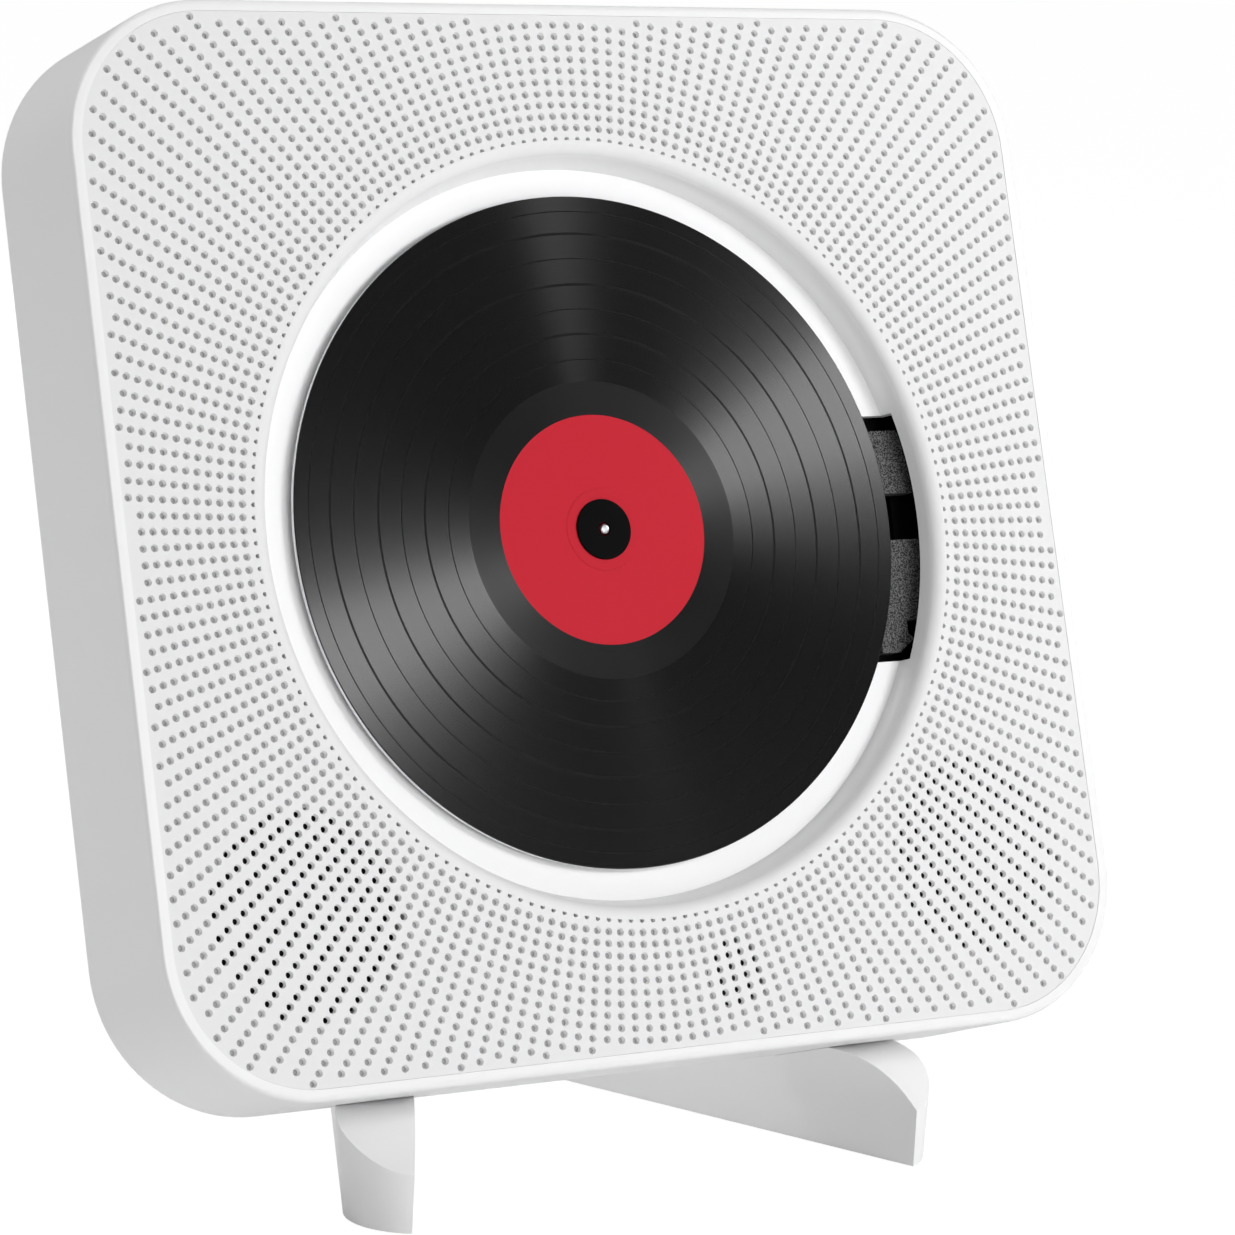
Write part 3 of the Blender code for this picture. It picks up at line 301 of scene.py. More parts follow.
def lathe(name, profile, centre=(0, 0), steps=64):
    """Turn a closed ring of (radius, depth) points; points on the axis are merged."""
    rings = []
    for i in range(steps):
        angle = 2 * math.pi * i / steps
        rings.append([(centre[0] + radius * math.cos(angle), depth,
                       centre[1] + radius * math.sin(angle)) for radius, depth in profile])
    piece = loft(name, rings, closed=True)
    if min(radius for radius, depth in profile) == 0:
        shape = bmesh.new()
        shape.from_mesh(piece.data)
        bmesh.ops.remove_doubles(shape, verts=shape.verts, dist=1e-7)
        bmesh.ops.recalc_face_normals(shape, faces=shape.faces)
        shape.to_mesh(piece.data)
        shape.free()
        piece.data.set_sharp_from_angle(angle=sharp_angle)
    return piece


def plate(name, outline, front, back, holes=()):
    """A flat outline with holes, from one depth to another, in the face frame."""
    curve = bpy.data.curves.new(name, 'CURVE')
    curve.dimensions = '2D'
    curve.fill_mode = 'BOTH'
    curve.extrude = (back - front) / 2
    for points in (outline, *holes):
        spline = curve.splines.new('POLY')
        spline.points.add(len(points) - 1)
        for point, (x, z) in zip(spline.points, points):
            point.co = (x, z, 0, 1)
        spline.use_cyclic_u = True
    drawing = bpy.data.objects.new(name + "_outline", curve)
    bpy.context.scene.collection.objects.link(drawing)
    bpy.context.view_layer.update()
    evaluated = drawing.evaluated_get(bpy.context.evaluated_depsgraph_get())
    mesh = bpy.data.meshes.new_from_object(evaluated)
    bpy.data.objects.remove(drawing, do_unlink=True)
    upright = Matrix.Translation((0, (front + back) / 2, 0)) @ Matrix.Rotation(math.pi / 2, 4, 'X')
    mesh.transform(upright)
    shape = bmesh.new()
    shape.from_mesh(mesh)
    bmesh.ops.remove_doubles(shape, verts=shape.verts, dist=1e-6)
    return finish_mesh(name, shape)


def block(name, low, high, bevel=0.0, segments=2):
    shape = bmesh.new()
    middle = (Vector(low) + Vector(high)) / 2
    size = Vector(high) - Vector(low)
    place = Matrix.Translation(middle) @ Matrix.Diagonal((*size, 1.0))
    bmesh.ops.create_cube(shape, size=1.0, matrix=place)
    if bevel:
        bmesh.ops.bevel(shape, geom=shape.edges, offset=bevel, segments=segments,
                        profile=0.5, affect='EDGES')
    return finish_mesh(name, shape)


def bar(name, radius, start, end, sides=32):
    start, end = Vector(start), Vector(end)
    shape = bmesh.new()
    turn = (end - start).to_track_quat('Z', 'Y').to_matrix().to_4x4()
    bmesh.ops.create_cone(shape, cap_ends=True, segments=sides, radius1=radius, radius2=radius,
                          depth=(end - start).length,
                          matrix=Matrix.Translation((start + end) / 2) @ turn)
    return finish_mesh(name, shape)


def bake(piece):
    """Apply a piece's modifiers and keep its place."""
    bpy.context.view_layer.update()
    evaluated = piece.evaluated_get(bpy.context.evaluated_depsgraph_get())
    mesh = bpy.data.meshes.new_from_object(evaluated)
    piece.modifiers.clear()
    piece.data = mesh


def cut(piece, cutters, operation='DIFFERENCE', solver='EXACT'):
    """Cut a piece with several cutters, which are removed afterwards."""
    for cutter in cutters:
        modifier = piece.modifiers.new("cut", 'BOOLEAN')
        modifier.operation = operation
        modifier.solver = solver
        modifier.object = cutter
    bake(piece)
    for cutter in cutters:
        bpy.data.objects.remove(cutter, do_unlink=True)
    shade_smooth(piece.data)


def soften(piece, width, segments, angle=40):
    """Round the edges that are sharper than an angle in degrees."""
    modifier = piece.modifiers.new("soften", 'BEVEL')
    modifier.width = width
    modifier.segments = segments
    modifier.limit_method = 'ANGLE'
    modifier.angle_limit = math.radians(angle)
    modifier.use_clamp_overlap = True
    bake(piece)
    shade_smooth(piece.data)


def join(pieces, name):
    """Join pieces into a new one; every face keeps its material's number."""
    shape = bmesh.new()
    for piece in pieces:
        shape.from_mesh(piece.data)
    joined = new_piece(name, shape)
    for piece in pieces:
        bpy.data.objects.remove(piece, do_unlink=True)
    return joined


def settle(piece, body, material, replaced=()):
    """Turn a finished piece from the face frame into the row frame and hand it over."""
    piece.data.transform(face_to_row)
    hand_over(piece, body, material, replaced)


def hand_over(piece, body, material, replaced=()):
    """Give a piece its material and its body, and hide the CAD nodes it stands for."""
    piece.data.materials.clear()
    piece.data.materials.append(material)
    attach(piece, body)
    if replaced:
        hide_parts(*replaced)


def paint_inside(piece, radius, material_index):
    """Give the faces within a radius about the hub another material."""
    for polygon in piece.data.polygons:
        centre = row_to_face @ polygon.center
        if math.hypot(centre.x, centre.z) < radius:
            polygon.material_index = material_index


def shade_flat(piece):
    """Shade the faces square to the body flat, so that a rounding doesn't spread over them."""
    for polygon in piece.data.polygons:
        if abs(polygon.normal.dot(inward)) > square_on:
            polygon.use_smooth = False


# Shader node groups

def new_group(name, inputs, outputs):
    group = bpy.data.node_groups.new(name, 'ShaderNodeTree')
    for label, kind, value in inputs:
        socket = group.interface.new_socket(label, in_out='INPUT', socket_type=kind)
        socket.default_value = value
    for label, kind in outputs:
        group.interface.new_socket(label, in_out='OUTPUT', socket_type=kind)
    return group, group.nodes.new('NodeGroupInput'), group.nodes.new('NodeGroupOutput')


def connect(tree, node, inputs):
    """Set or link inputs of a node."""
    for label, value in inputs.items():
        socket = node.inputs[label]
        if isinstance(value, bpy.types.NodeSocket):
            tree.links.new(value, socket)
        else:
            socket.default_value = value


def add(tree, kind, settings=None, inputs=None):
    """Add a node, set its properties, and set or link its inputs."""
    node = tree.nodes.new(kind)
    for label, value in (settings or {}).items():
        setattr(node, label, value)
    connect(tree, node, inputs or {})
    return node


def math_node(tree, operation, first, second=0.0, clamp=False):
    node = add(tree, 'ShaderNodeMath', {"operation": operation, "use_clamp": clamp},
               {0: first, 1: second})
    return node.outputs[0]


def vector_math(tree, operation, inputs):
    return add(tree, 'ShaderNodeVectorMath', {"operation": operation}, inputs).outputs


def noise_node(tree, place, scale, detail):
    return add(tree, 'ShaderNodeTexNoise', None,
               {"Vector": place, "Scale": scale, "Detail": detail}).outputs[0]


def map_range(tree, value, low, high, out_low=0.0, out_high=1.0, kind='LINEAR'):
    node = add(tree, 'ShaderNodeMapRange', {"interpolation_type": kind},
               {"Value": value, "From Min": low, "From Max": high,
                "To Min": out_low, "To Max": out_high})
    return node.outputs["Result"]


def grain_group():
    """Fine moulded texture: a shade near one, a roughness and a bumped normal."""
    group, given, result = new_group(
        "moulded_grain",
        [("Scale", 'NodeSocketFloat', 900.0), ("Bump", 'NodeSocketFloat', 0.1),
         ("Roughness", 'NodeSocketFloat', 0.4), ("Mottle", 'NodeSocketFloat', 0.01)],
        [("Shade", 'NodeSocketFloat'), ("Roughness", 'NodeSocketFloat'),
         ("Normal", 'NodeSocketVector')])
    place = add(group, 'ShaderNodeTexCoord').outputs["Object"]
    fine = noise_node(group, place, given.outputs["Scale"], 2.0)
    broad = noise_node(group, place, 28.0, 3.0)
    spread = math_node(group, 'SUBTRACT', broad, 0.5)
    change = math_node(group, 'MULTIPLY', spread, given.outputs["Mottle"])
    shade = math_node(group, 'ADD', change, 1.0)
    patch = math_node(group, 'MULTIPLY', spread, 0.12)
    rough = math_node(group, 'ADD', given.outputs["Roughness"], patch, True)
    bump = add(group, 'ShaderNodeBump', None,
               {"Strength": given.outputs["Bump"], "Distance": 0.00002, "Height": fine})
    connect(group, result, {"Shade": shade, "Roughness": rough, "Normal": bump.outputs[0]})
    return group


def polar_group():
    """Radius, radial direction and place in the disc's plane, about the hub."""
    group, _, result = new_group(
        "about_the_hub", [],
        [("Radius", 'NodeSocketFloat'), ("Radial", 'NodeSocketVector'),
         ("Place", 'NodeSocketVector')])
    place = add(group, 'ShaderNodeTexCoord').outputs["Object"]
    offset = vector_math(group, 'SUBTRACT', {0: place, 1: hub})[0]
    inside = vector_math(group, 'DOT_PRODUCT', {0: offset, 1: inward})["Value"]
    sink = vector_math(group, 'SCALE', {0: inward, "Scale": inside})[0]
    flat = vector_math(group, 'SUBTRACT', {0: offset, 1: sink})[0]
    length = vector_math(group, 'LENGTH', {0: flat})["Value"]
    unit = vector_math(group, 'NORMALIZE', {0: flat})[0]
    connect(group, result, {"Radius": length, "Radial": unit, "Place": flat})
    return group


def use_group(tree, group, inputs=None):
    return add(tree, 'ShaderNodeGroup', {"node_tree": group}, inputs)


def new_material(name, **inputs):
    """A Principled material with constant inputs; returns it, its tree and its shader."""
    material = bpy.data.materials.new(name)
    material.use_nodes = True
    shader = material.node_tree.nodes["Principled BSDF"]
    for label, value in inputs.items():
        shader.inputs[label.replace("_", " ")].default_value = value
    return material, material.node_tree, shader


def tint(tree, colour, shade):
    """A colour multiplied by a shade value."""
    node = add(tree, 'ShaderNodeMix', {"data_type": 'RGBA', "blend_type": 'MULTIPLY'},
               {"Factor": 1.0, "A": (*colour, 1.0), "B": shade})
    return node.outputs["Result"]


def moulded(name, colour, roughness, bump, scale, mottle, **inputs):
    """Moulded plastic, rubber or paper with its fine grain."""
    material, tree, shader = new_material(name, **inputs)
    grain = use_group(tree, grain_nodes, {"Scale": scale, "Bump": bump,
                                          "Roughness": roughness, "Mottle": mottle})
    connect(tree, shader, {"Base Color": tint(tree, colour, grain.outputs["Shade"]),
                           "Roughness": grain.outputs["Roughness"],
                           "Normal": grain.outputs["Normal"]})
    return material


def speckled_plate(name, dark, light):
    """Coarse spark-eroded texture: fine light and dark grains."""
    material, tree, shader = new_material(name, Roughness=0.75)
    place = add(tree, 'ShaderNodeTexCoord').outputs["Object"]
    noise = noise_node(tree, place, 3800.0, 1.0)
    level = map_range(tree, noise, 0.42, 0.60)
    mix = add(tree, 'ShaderNodeMix', {"data_type": 'RGBA'},
              {"Factor": level, "A": (*dark, 1.0), "B": (*light, 1.0)})
    bump = add(tree, 'ShaderNodeBump', None,
               {"Strength": 0.5, "Distance": 0.00005, "Height": noise})
    connect(tree, shader, {"Base Color": mix.outputs["Result"], "Normal": bump.outputs[0]})
    return material


def disc_print():
    """Black record print: groove bands, dark lines and a smooth band by the label."""
    material, tree, shader = new_material("record_print", Anisotropic=1.0,
                                          Specular_IOR_Level=0.5)
    polar = use_group(tree, polar_nodes)
    share = math_node(tree, 'DIVIDE', polar.outputs["Radius"], disc_high.x)
    lines = None
    for place, width in line_shares:
        away = math_node(tree, 'ABSOLUTE', math_node(tree, 'SUBTRACT', share, place))
        line = map_range(tree, away, width / 2, width, 1.0, 0.0, 'SMOOTHSTEP')
        lines = line if lines is None else math_node(tree, 'MAXIMUM', lines, line)
    band = map_range(tree, share, band_share, band_share + 0.006, 1.0, 0.0, 'SMOOTHSTEP')
    ripple = add(tree, 'ShaderNodeTexNoise', {"noise_dimensions": '1D'},
                 {"W": share, "Scale": 420.0, "Detail": 2.0})
    black = map_range(tree, ripple.outputs[0], 0.3, 0.7, 0.003, 0.005)
    dark = math_node(tree, 'MULTIPLY', black, math_node(tree, 'SUBTRACT', 1.0, lines))
    vinyl = add(tree, 'ShaderNodeCombineColor', None, {0: dark, 1: dark, 2: dark})
    rough = map_range(tree, ripple.outputs[0], 0.3, 0.7, 0.22, 0.25)
    broken = math_node(tree, 'MAXIMUM', math_node(tree, 'MULTIPLY', lines, 0.75),
                       math_node(tree, 'MULTIPLY', band, 0.42))
    gap = map_range(tree, broken, 0.0, 1.0, 0.0, 0.5)
    radial = add(tree, 'ShaderNodeVectorTransform',
                 {"vector_type": 'VECTOR', "convert_from": 'OBJECT', "convert_to": 'WORLD'},
                 {0: polar.outputs["Radial"]})
    connect(tree, shader, {"Base Color": vinyl.outputs[0], "Tangent": radial.outputs[0],
                           "Roughness": math_node(tree, 'ADD', rough, gap)})
    return material


def brushed_metal(name, colour, roughness):
    """Plated or turned metal with faint scratches."""
    material, tree, shader = new_material(name, Metallic=1.0)
    place = add(tree, 'ShaderNodeTexCoord').outputs["Object"]
    stretch = add(tree, 'ShaderNodeMapping', None, {"Vector": place, "Scale": (400, 4000, 400)})
    noise = noise_node(tree, stretch.outputs[0], 1.0, 3.0)
    level = map_range(tree, noise, 0.3, 0.7, roughness - 0.06, roughness + 0.08)
    shade = map_range(tree, noise, 0.3, 0.7, 0.9, 1.0)
    connect(tree, shader, {"Base Color": tint(tree, colour, shade), "Roughness": level})
    return material


def board_material():
    """Solder mask with paler tracks and pads."""
    material, tree, shader = new_material("solder_mask", Roughness=0.35)
    polar = use_group(tree, polar_nodes)
    tracks = add(tree, 'ShaderNodeTexBrick', {"offset": 0.35},
                 {"Vector": polar.outputs["Place"], "Scale": 260.0, "Mortar Size": 0.06,
                  "Color1": (0.012, 0.085, 0.035, 1), "Color2": (0.016, 0.10, 0.042, 1),
                  "Mortar": (0.05, 0.22, 0.09, 1)})
    connect(tree, shader, {"Base Color": tracks.outputs["Color"]})
    return material


grain_nodes = grain_group()
polar_nodes = polar_group()
white = moulded("white_satin", (0.90, 0.90, 0.905), 0.42, 0.10, 1400.0, 0.008)
white_fine = moulded("white_texture", (0.82, 0.82, 0.825), 0.55, 0.30, 2200.0, 0.012)
# A brighter white for the side-on walls of the holes: painted light reaching into them
painted_lit_hole_wall = moulded("hole_wall_painted_light", (0.94, 0.94, 0.94), 0.6, 0.05, 2200.0, 0.01)
# Grey for the bottoms of the holes: painted shade on the baffle behind the perforations
painted_hole_shade = moulded("hole_floor_painted_shade", (0.39, 0.39, 0.395), 0.7, 0.1, 2200.0, 0.02)
black = moulded("black_satin", (0.012, 0.012, 0.013), 0.45, 0.2, 1800.0, 0.05)
deck_black = moulded("black_deck", (0.002, 0.002, 0.002), 0.6, 0.3, 1800.0, 0.1,
                     Specular_IOR_Level=0.1)
hub_black = moulded("black_hub", (0.001, 0.001, 0.001), 0.6, 0.1, 1800.0, 0.1,
                    Specular_IOR_Level=0.08)
red = moulded("red_gloss", (0.54, 0.012, 0.027), 0.40, 0.05, 900.0, 0.02,
              Specular_IOR_Level=0.10)
rubber = moulded("rubber", (0.022, 0.022, 0.024), 0.8, 0.5, 2600.0, 0.1)
paper = moulded("pressed_paper", (0.02, 0.02, 0.021), 0.85, 0.8, 3000.0, 0.2)
nylon = moulded("nylon", (0.78, 0.77, 0.71), 0.42, 0.1, 1200.0, 0.02)
symbol_grey = moulded("symbol_grey", (0.25, 0.25, 0.26), 0.5, 0.1, 1200.0, 0.02)
clear_rim = moulded("disc_rim", (0.85, 0.86, 0.88), 0.12, 0.02, 900.0, 0.02)
speckle = speckled_plate("speckled_plate", (0.010, 0.010, 0.011), (0.17, 0.17, 0.172))
record = disc_print()
steel = brushed_metal("plated_steel", (0.62, 0.62, 0.63), 0.28)
brass = brushed_metal("turned_brass", (0.72, 0.53, 0.25), 0.30)
solder = board_material()
lens_glass = new_material("coated_lens", Base_Color=(0.18, 0.28, 0.5, 1), Roughness=0.05,
                          Coat_Weight=1.0)[0]

cad_finishes = {
    "black_plastic": black, "grey_plate": speckle, "red_plastic": red, "steel": steel,
    "brass": brass, "rubber": rubber, "circuit_board": solder, "paper_cone": paper,
    "lens_glass": lens_glass, "gear_nylon": nylon, "white_plastic": white, "disc_print": record,
}
for subpart in frame["record"]["subparts"]:
    target = nodes[subpart["node"]]
    target.data.materials.clear()
    target.data.materials.append(cad_finishes[subpart["material_slot"]])
nodes["deck_chassis"].data.materials[0] = deck_black


# Front shell: rounded rim, flared sides, baffle and all its openings

def outline_at(inset, depth, side_inset=None):
    flare = side_flare * min(max(depth / body_depth, 0), 1)
    radius = max(corner_radius + flare - inset, edge_rounding)
    inset_x = inset if side_inset is None else side_inset
    points = rounded_box(half_width + flare - inset_x, half_height + flare - inset, radius)
    return [(x, depth, z) for x, z in points]


def edge_rings(depth_of, forward):
    """Rings round a rounded edge; the depth is a function of the way in from the edge."""
    rings = []
    for angle in quarter_turn(rounding_steps):
        curl = 1 - math.sin(angle)
        rings.append(outline_at(edge_rounding * curl,
                                depth_of(edge_rounding * (1 - math.cos(angle))),
                                side_rounding * curl))
    return rings if forward else rings[::-1]


def socket_hole(node):
    """A box cutter round a socket, reaching out through the right side wall."""
    low, high = face_box(node)
    grow = Vector.Fill(3, fit_gap)
    return block("hole", low - grow, high + grow + Vector((wall, 0, 0)))


def round_hole(name, low, high, radius, front, back, steps):
    """A round cutter on the middle of a box, from one depth to another."""
    x = (low.x + high.x) / 2
    z = (low.z + high.z) / 2
    return bar(name, radius, (x, front, z), (x, back, z), steps)


def key_nodes():
    return sorted(name for name in nodes if name.startswith("button_") and name != "button_board")


def key_box(name):
    """The key's own top, without its wider flange below the wall."""
    low, high = face_box(name)
    margin = Vector((key_flange_margin, key_flange_margin, 0))
    return low + margin, high - margin


def front_shell():
    baffle_front = panel_setback + panel_thickness + seam_gap
    baffle_back = panel_high.y + fit_gap + baffle_thickness
    rings = [outline_at(rim_width, baffle_front), outline_at(rim_width, 0)]
    rings += edge_rings(lambda offset: offset, True)
    rings += edge_rings(lambda offset: body_depth - offset, False)
    rings += [outline_at(wall, body_depth), outline_at(wall, baffle_back)]
    shell = loft("shell_moulding", rings)
    ends = (baffle_front - overrun, baffle_back + overrun)
    cutters = [bar("well", lip_radius + baffle_gap, (0, -overrun, 0), (0, ends[1], 0), well_steps)]
    for side in ("left", "right"):
        low, high = face_box(side + "_speaker_cone")
        radius = (high.x - low.x) / 2 + speaker_margin
        cutters.append(round_hole("speaker", low, high, radius, *ends, 64))
    low, high = face_box("ir_receiver")
    cutters.append(round_hole("receiver", low, high, receiver_radius, *ends, 48))
    for name in key_nodes():
        low, high = key_box(name)
        cutters.append(block(
            "key_hole", (low.x - fit_gap, low.y - fit_gap, half_height - wall * 2),
            (high.x + fit_gap, high.y + fit_gap, half_height + wall)))
    for name in ("dc_socket", "audio_socket", "usb_socket", "slider_housing"):
        cutters.append(socket_hole(name))
    for side in (-1, 1):
        middle = side * tongue_centre
        cutters.append(block(
            "foot_slot", (middle - slot_half_width, tongue_front - fit_gap, -half_height - wall),
            (middle + slot_half_width, tongue_back + fit_gap, -half_height + wall * 2)))
    cut(shell, cutters)
    settle(shell, "player", white, ["front_shell"])
    # The baffle's front, seen through the holes, takes the grey painted shade
    shell.data.materials.append(painted_hole_shade)
    for polygon in shell.data.polygons:
        centre = row_to_face @ polygon.center
        if abs(centre.y - baffle_front) < seam_gap / 2:
            polygon.material_index = 1


# Perforated front with its rolled lip and the well's floor, one moulding

def perforation_nodes():
    """Geometry nodes that set hole cutters on rays about the hub, inside the rim."""
    group = bpy.data.node_groups.new("ray_perforations", 'GeometryNodeTree')
    border = rim_width + edge_margin
    sizes = {"Rays": ray_count, "Rings": ring_count, "First Radius": first_ring_radius,
             "Ring Pitch": ring_pitch, "Hole Radius": hole_radius, "Back Radius": hole_back_radius,
             "First Hole Share": first_hole_share, "Half Width": half_width - border,
             "Half Height": half_height - border, "Corner Radius": corner_radius - border,
             "Thickness": panel_thickness, "Overshoot": cutter_overshoot}
    for label, value in sizes.items():
        kind = 'NodeSocketInt' if isinstance(value, int) else 'NodeSocketFloat'
        group.interface.new_socket(label, in_out='INPUT', socket_type=kind)
    group.interface.new_socket("Material", in_out='INPUT', socket_type='NodeSocketMaterial')
    group.interface.new_socket("Geometry", in_out='OUTPUT', socket_type='NodeSocketGeometry')
    given = group.nodes.new('NodeGroupInput').outputs
    result = group.nodes.new('NodeGroupOutput')

    def do(operation, first, second=0.0):
        return math_node(group, operation, first, second)

    index = add(group, 'GeometryNodeInputIndex').outputs[0]
    ray = do('FLOOR', do('DIVIDE', do('ADD', index, 0.5), given["Rings"]))
    ring = do('SUBTRACT', index, do('MULTIPLY', ray, given["Rings"]))
    angle = do('MULTIPLY', do('DIVIDE', ray, given["Rays"]), 2 * math.pi)
    radius = do('ADD', given["First Radius"], do('MULTIPLY', ring, given["Ring Pitch"]))
    x = do('MULTIPLY', radius, do('COSINE', angle))
    z = do('MULTIPLY', radius, do('SINE', angle))
    place = add(group, 'ShaderNodeCombineXYZ', None, {"X": x, "Z": z}).outputs[0]
    reach = given["Corner Radius"]
    over_x = do('SUBTRACT', do('ABSOLUTE', x), do('SUBTRACT', given["Half Width"], reach))
    over_z = do('SUBTRACT', do('ABSOLUTE', z), do('SUBTRACT', given["Half Height"], reach))
    corner = do('SQRT', do('ADD', do('POWER', do('MAXIMUM', over_x, 0.0), 2.0),
                           do('POWER', do('MAXIMUM', over_z, 0.0), 2.0)))
    side = do('MINIMUM', do('MAXIMUM', over_x, over_z), 0.0)
    distance = do('SUBTRACT', do('ADD', corner, side), reach)
    outside = do('GREATER_THAN', distance, do('MULTIPLY', given["Hole Radius"], -1.0))
    spot = add(group, 'GeometryNodeInputPosition').outputs[0]
    away = vector_math(group, 'LENGTH', {0: spot})["Value"]
    second = do('ADD', given["First Radius"], do('MULTIPLY', given["Ring Pitch"], 0.5))
    share = add(group, 'GeometryNodeSwitch', {"input_type": 'FLOAT'},
                {"Switch": do('LESS_THAN', away, second), "False": 1.0,
                 "True": given["First Hole Share"]}).outputs[0]
    count = do('MULTIPLY', given["Rays"], given["Rings"])
    points = add(group, 'GeometryNodePoints', None, {"Count": count, "Position": place})
    kept = add(group, 'GeometryNodeDeleteGeometry', {"domain": 'POINT'},
               {"Geometry": points.outputs[0], "Selection": outside})
    slope = do('DIVIDE', do('SUBTRACT', given["Hole Radius"], given["Back Radius"]),
               given["Thickness"])
    flare = do('MULTIPLY', slope, given["Overshoot"])
    hole = add(group, 'GeometryNodeMeshCone', None,
               {"Vertices": hole_sides, "Radius Top": do('ADD', given["Hole Radius"], flare),
                "Radius Bottom": do('SUBTRACT', given["Back Radius"], flare),
                "Depth": do('ADD', given["Thickness"], do('MULTIPLY', given["Overshoot"], 2.0))})
    turn = add(group, 'ShaderNodeCombineXYZ', None, {"X": math.pi / 2}).outputs[0]
    scale = add(group, 'ShaderNodeCombineXYZ', None, {"X": share, "Y": share, "Z": 1.0})
    copies = add(group, 'GeometryNodeInstanceOnPoints', None,
                 {"Points": kept.outputs[0], "Instance": hole.outputs["Mesh"],
                  "Rotation": turn, "Scale": scale.outputs[0]})
    real = add(group, 'GeometryNodeRealizeInstances', None, {"Geometry": copies.outputs[0]})
    paint = add(group, 'GeometryNodeSetMaterial', None,
                {"Geometry": real.outputs[0], "Material": given["Material"]})
    connect(group, result, {"Geometry": paint.outputs[0]})
    return group, sizes


def perforation_cutters():
    """One mesh with a cutter for every hole of the fascia."""
    group, values = perforation_nodes()
    values["Material"] = white_fine
    holder = bpy.data.objects.new("perforations", bpy.data.meshes.new("perforations"))
    bpy.context.scene.collection.objects.link(holder)
    modifier = holder.modifiers.new("perforations", 'NODES')
    modifier.node_group = group
    for item in group.interface.items_tree:
        if item.in_out == 'INPUT':
            modifier[item.identifier] = values[item.name]
    bake(holder)
    back = panel_setback + panel_thickness + cutter_overshoot
    holder.data.transform(Matrix.Translation((0, back, 0)))
    return holder


def fascia():
    """Panel and tray in one piece; its materials are painted by place and direction, with painted light on the
    side-on hole walls.
    """
    front = panel_setback
    back = front + panel_thickness
    seam = lip_radius + lip_flat
    inset = rim_width + seam_gap
    panel = loft("fascia_panel", [outline_at(inset, back), outline_at(inset, front)])
    well = loft("well", [[(x, depth, z) for x, z in circle(seam, sides=well_steps)]
                         for depth in (front - overrun, back + overrun)])
    cut(panel, [perforation_cutters(), well], solver='MANIFOLD')
    lip_reach = lip_radius - well_radius
    lip_fall = well_floor - front - lip_shoulder
    slope = math.atan2(lip_fall, lip_reach)
    slope += math.asin(lip_shoulder / math.hypot(lip_fall, lip_reach))
    lip = [(lip_radius - lip_shoulder * math.sin(slope * i / lip_steps),
            front + lip_shoulder * (1 - math.cos(slope * i / lip_steps)))
           for i in range(lip_steps + 1)]
    tray_back = well_floor + tray_floor
    profile = [(seam, back), (seam, front)] + lip + [(well_radius, well_floor)]
    profile += [(hub_opening_radius, well_floor), (hub_opening_radius, tray_back),
                (lip_radius - tray_floor, tray_back), (lip_radius, back)]
    tray = lathe("well_moulding", profile, steps=well_steps)
    top = math.degrees(math.asin(window_top / window_radius))
    bottom = math.degrees(math.asin(window_bottom / window_radius))
    opening = [(window_start, window_top), (window_start, -window_bottom)]
    opening += arc((0, 0), window_radius, -bottom, top, 64)
    cut(tray, [plate("window", opening, window_front, tray_back + overrun)])
    moulding = join([panel, tray], "front_moulding")
    settle(moulding, "player", white_fine, ["grille_panel", "disc_tray"])
    moulding.data.materials.append(white)
    moulding.data.materials.append(painted_lit_hole_wall)
    paint_inside(moulding, lip_paint_radius, 1)
    shade_flat(moulding)
    for polygon in moulding.data.polygons:
        facing = abs(polygon.normal.dot(inward))
        centre = row_to_face @ polygon.center
        # Side-on walls beyond the seam get the brighter white: painted light in the holes
        if facing < side_on and math.hypot(centre.x, centre.z) > seam + seam_gap:
            polygon.material_index = 2
        elif facing > square_on and centre.y < back + seam_gap:
            polygon.material_index = 0


# Disc, hub and shaft

def disc():
    radius = disc_high.x
    bore = hub_post_radius + seam_gap / 2
    front, back = disc_low.y, disc_high.y
    edge = (back - front) / 6
    label = radius * label_share
    profile = [(bore, front), (label, front)]
    profile += arc((radius - edge, front + edge), edge, 270, 360, 6)
    profile += arc((radius - edge, back - edge), edge, 0, 90, 6) + [(bore, back)]
    piece = lathe("record_disc", profile, steps=disc_steps)
    settle(piece, "disc", record, ["disc"])
    piece.data.materials.append(clear_rim)
    piece.data.materials.append(red)
    for polygon in piece.data.polygons:
        centre = row_to_face @ polygon.center
        if math.hypot(centre.x, centre.z) > radius - edge and centre.y > front + edge:
            polygon.material_index = 1
    paint_inside(piece, label, 2)


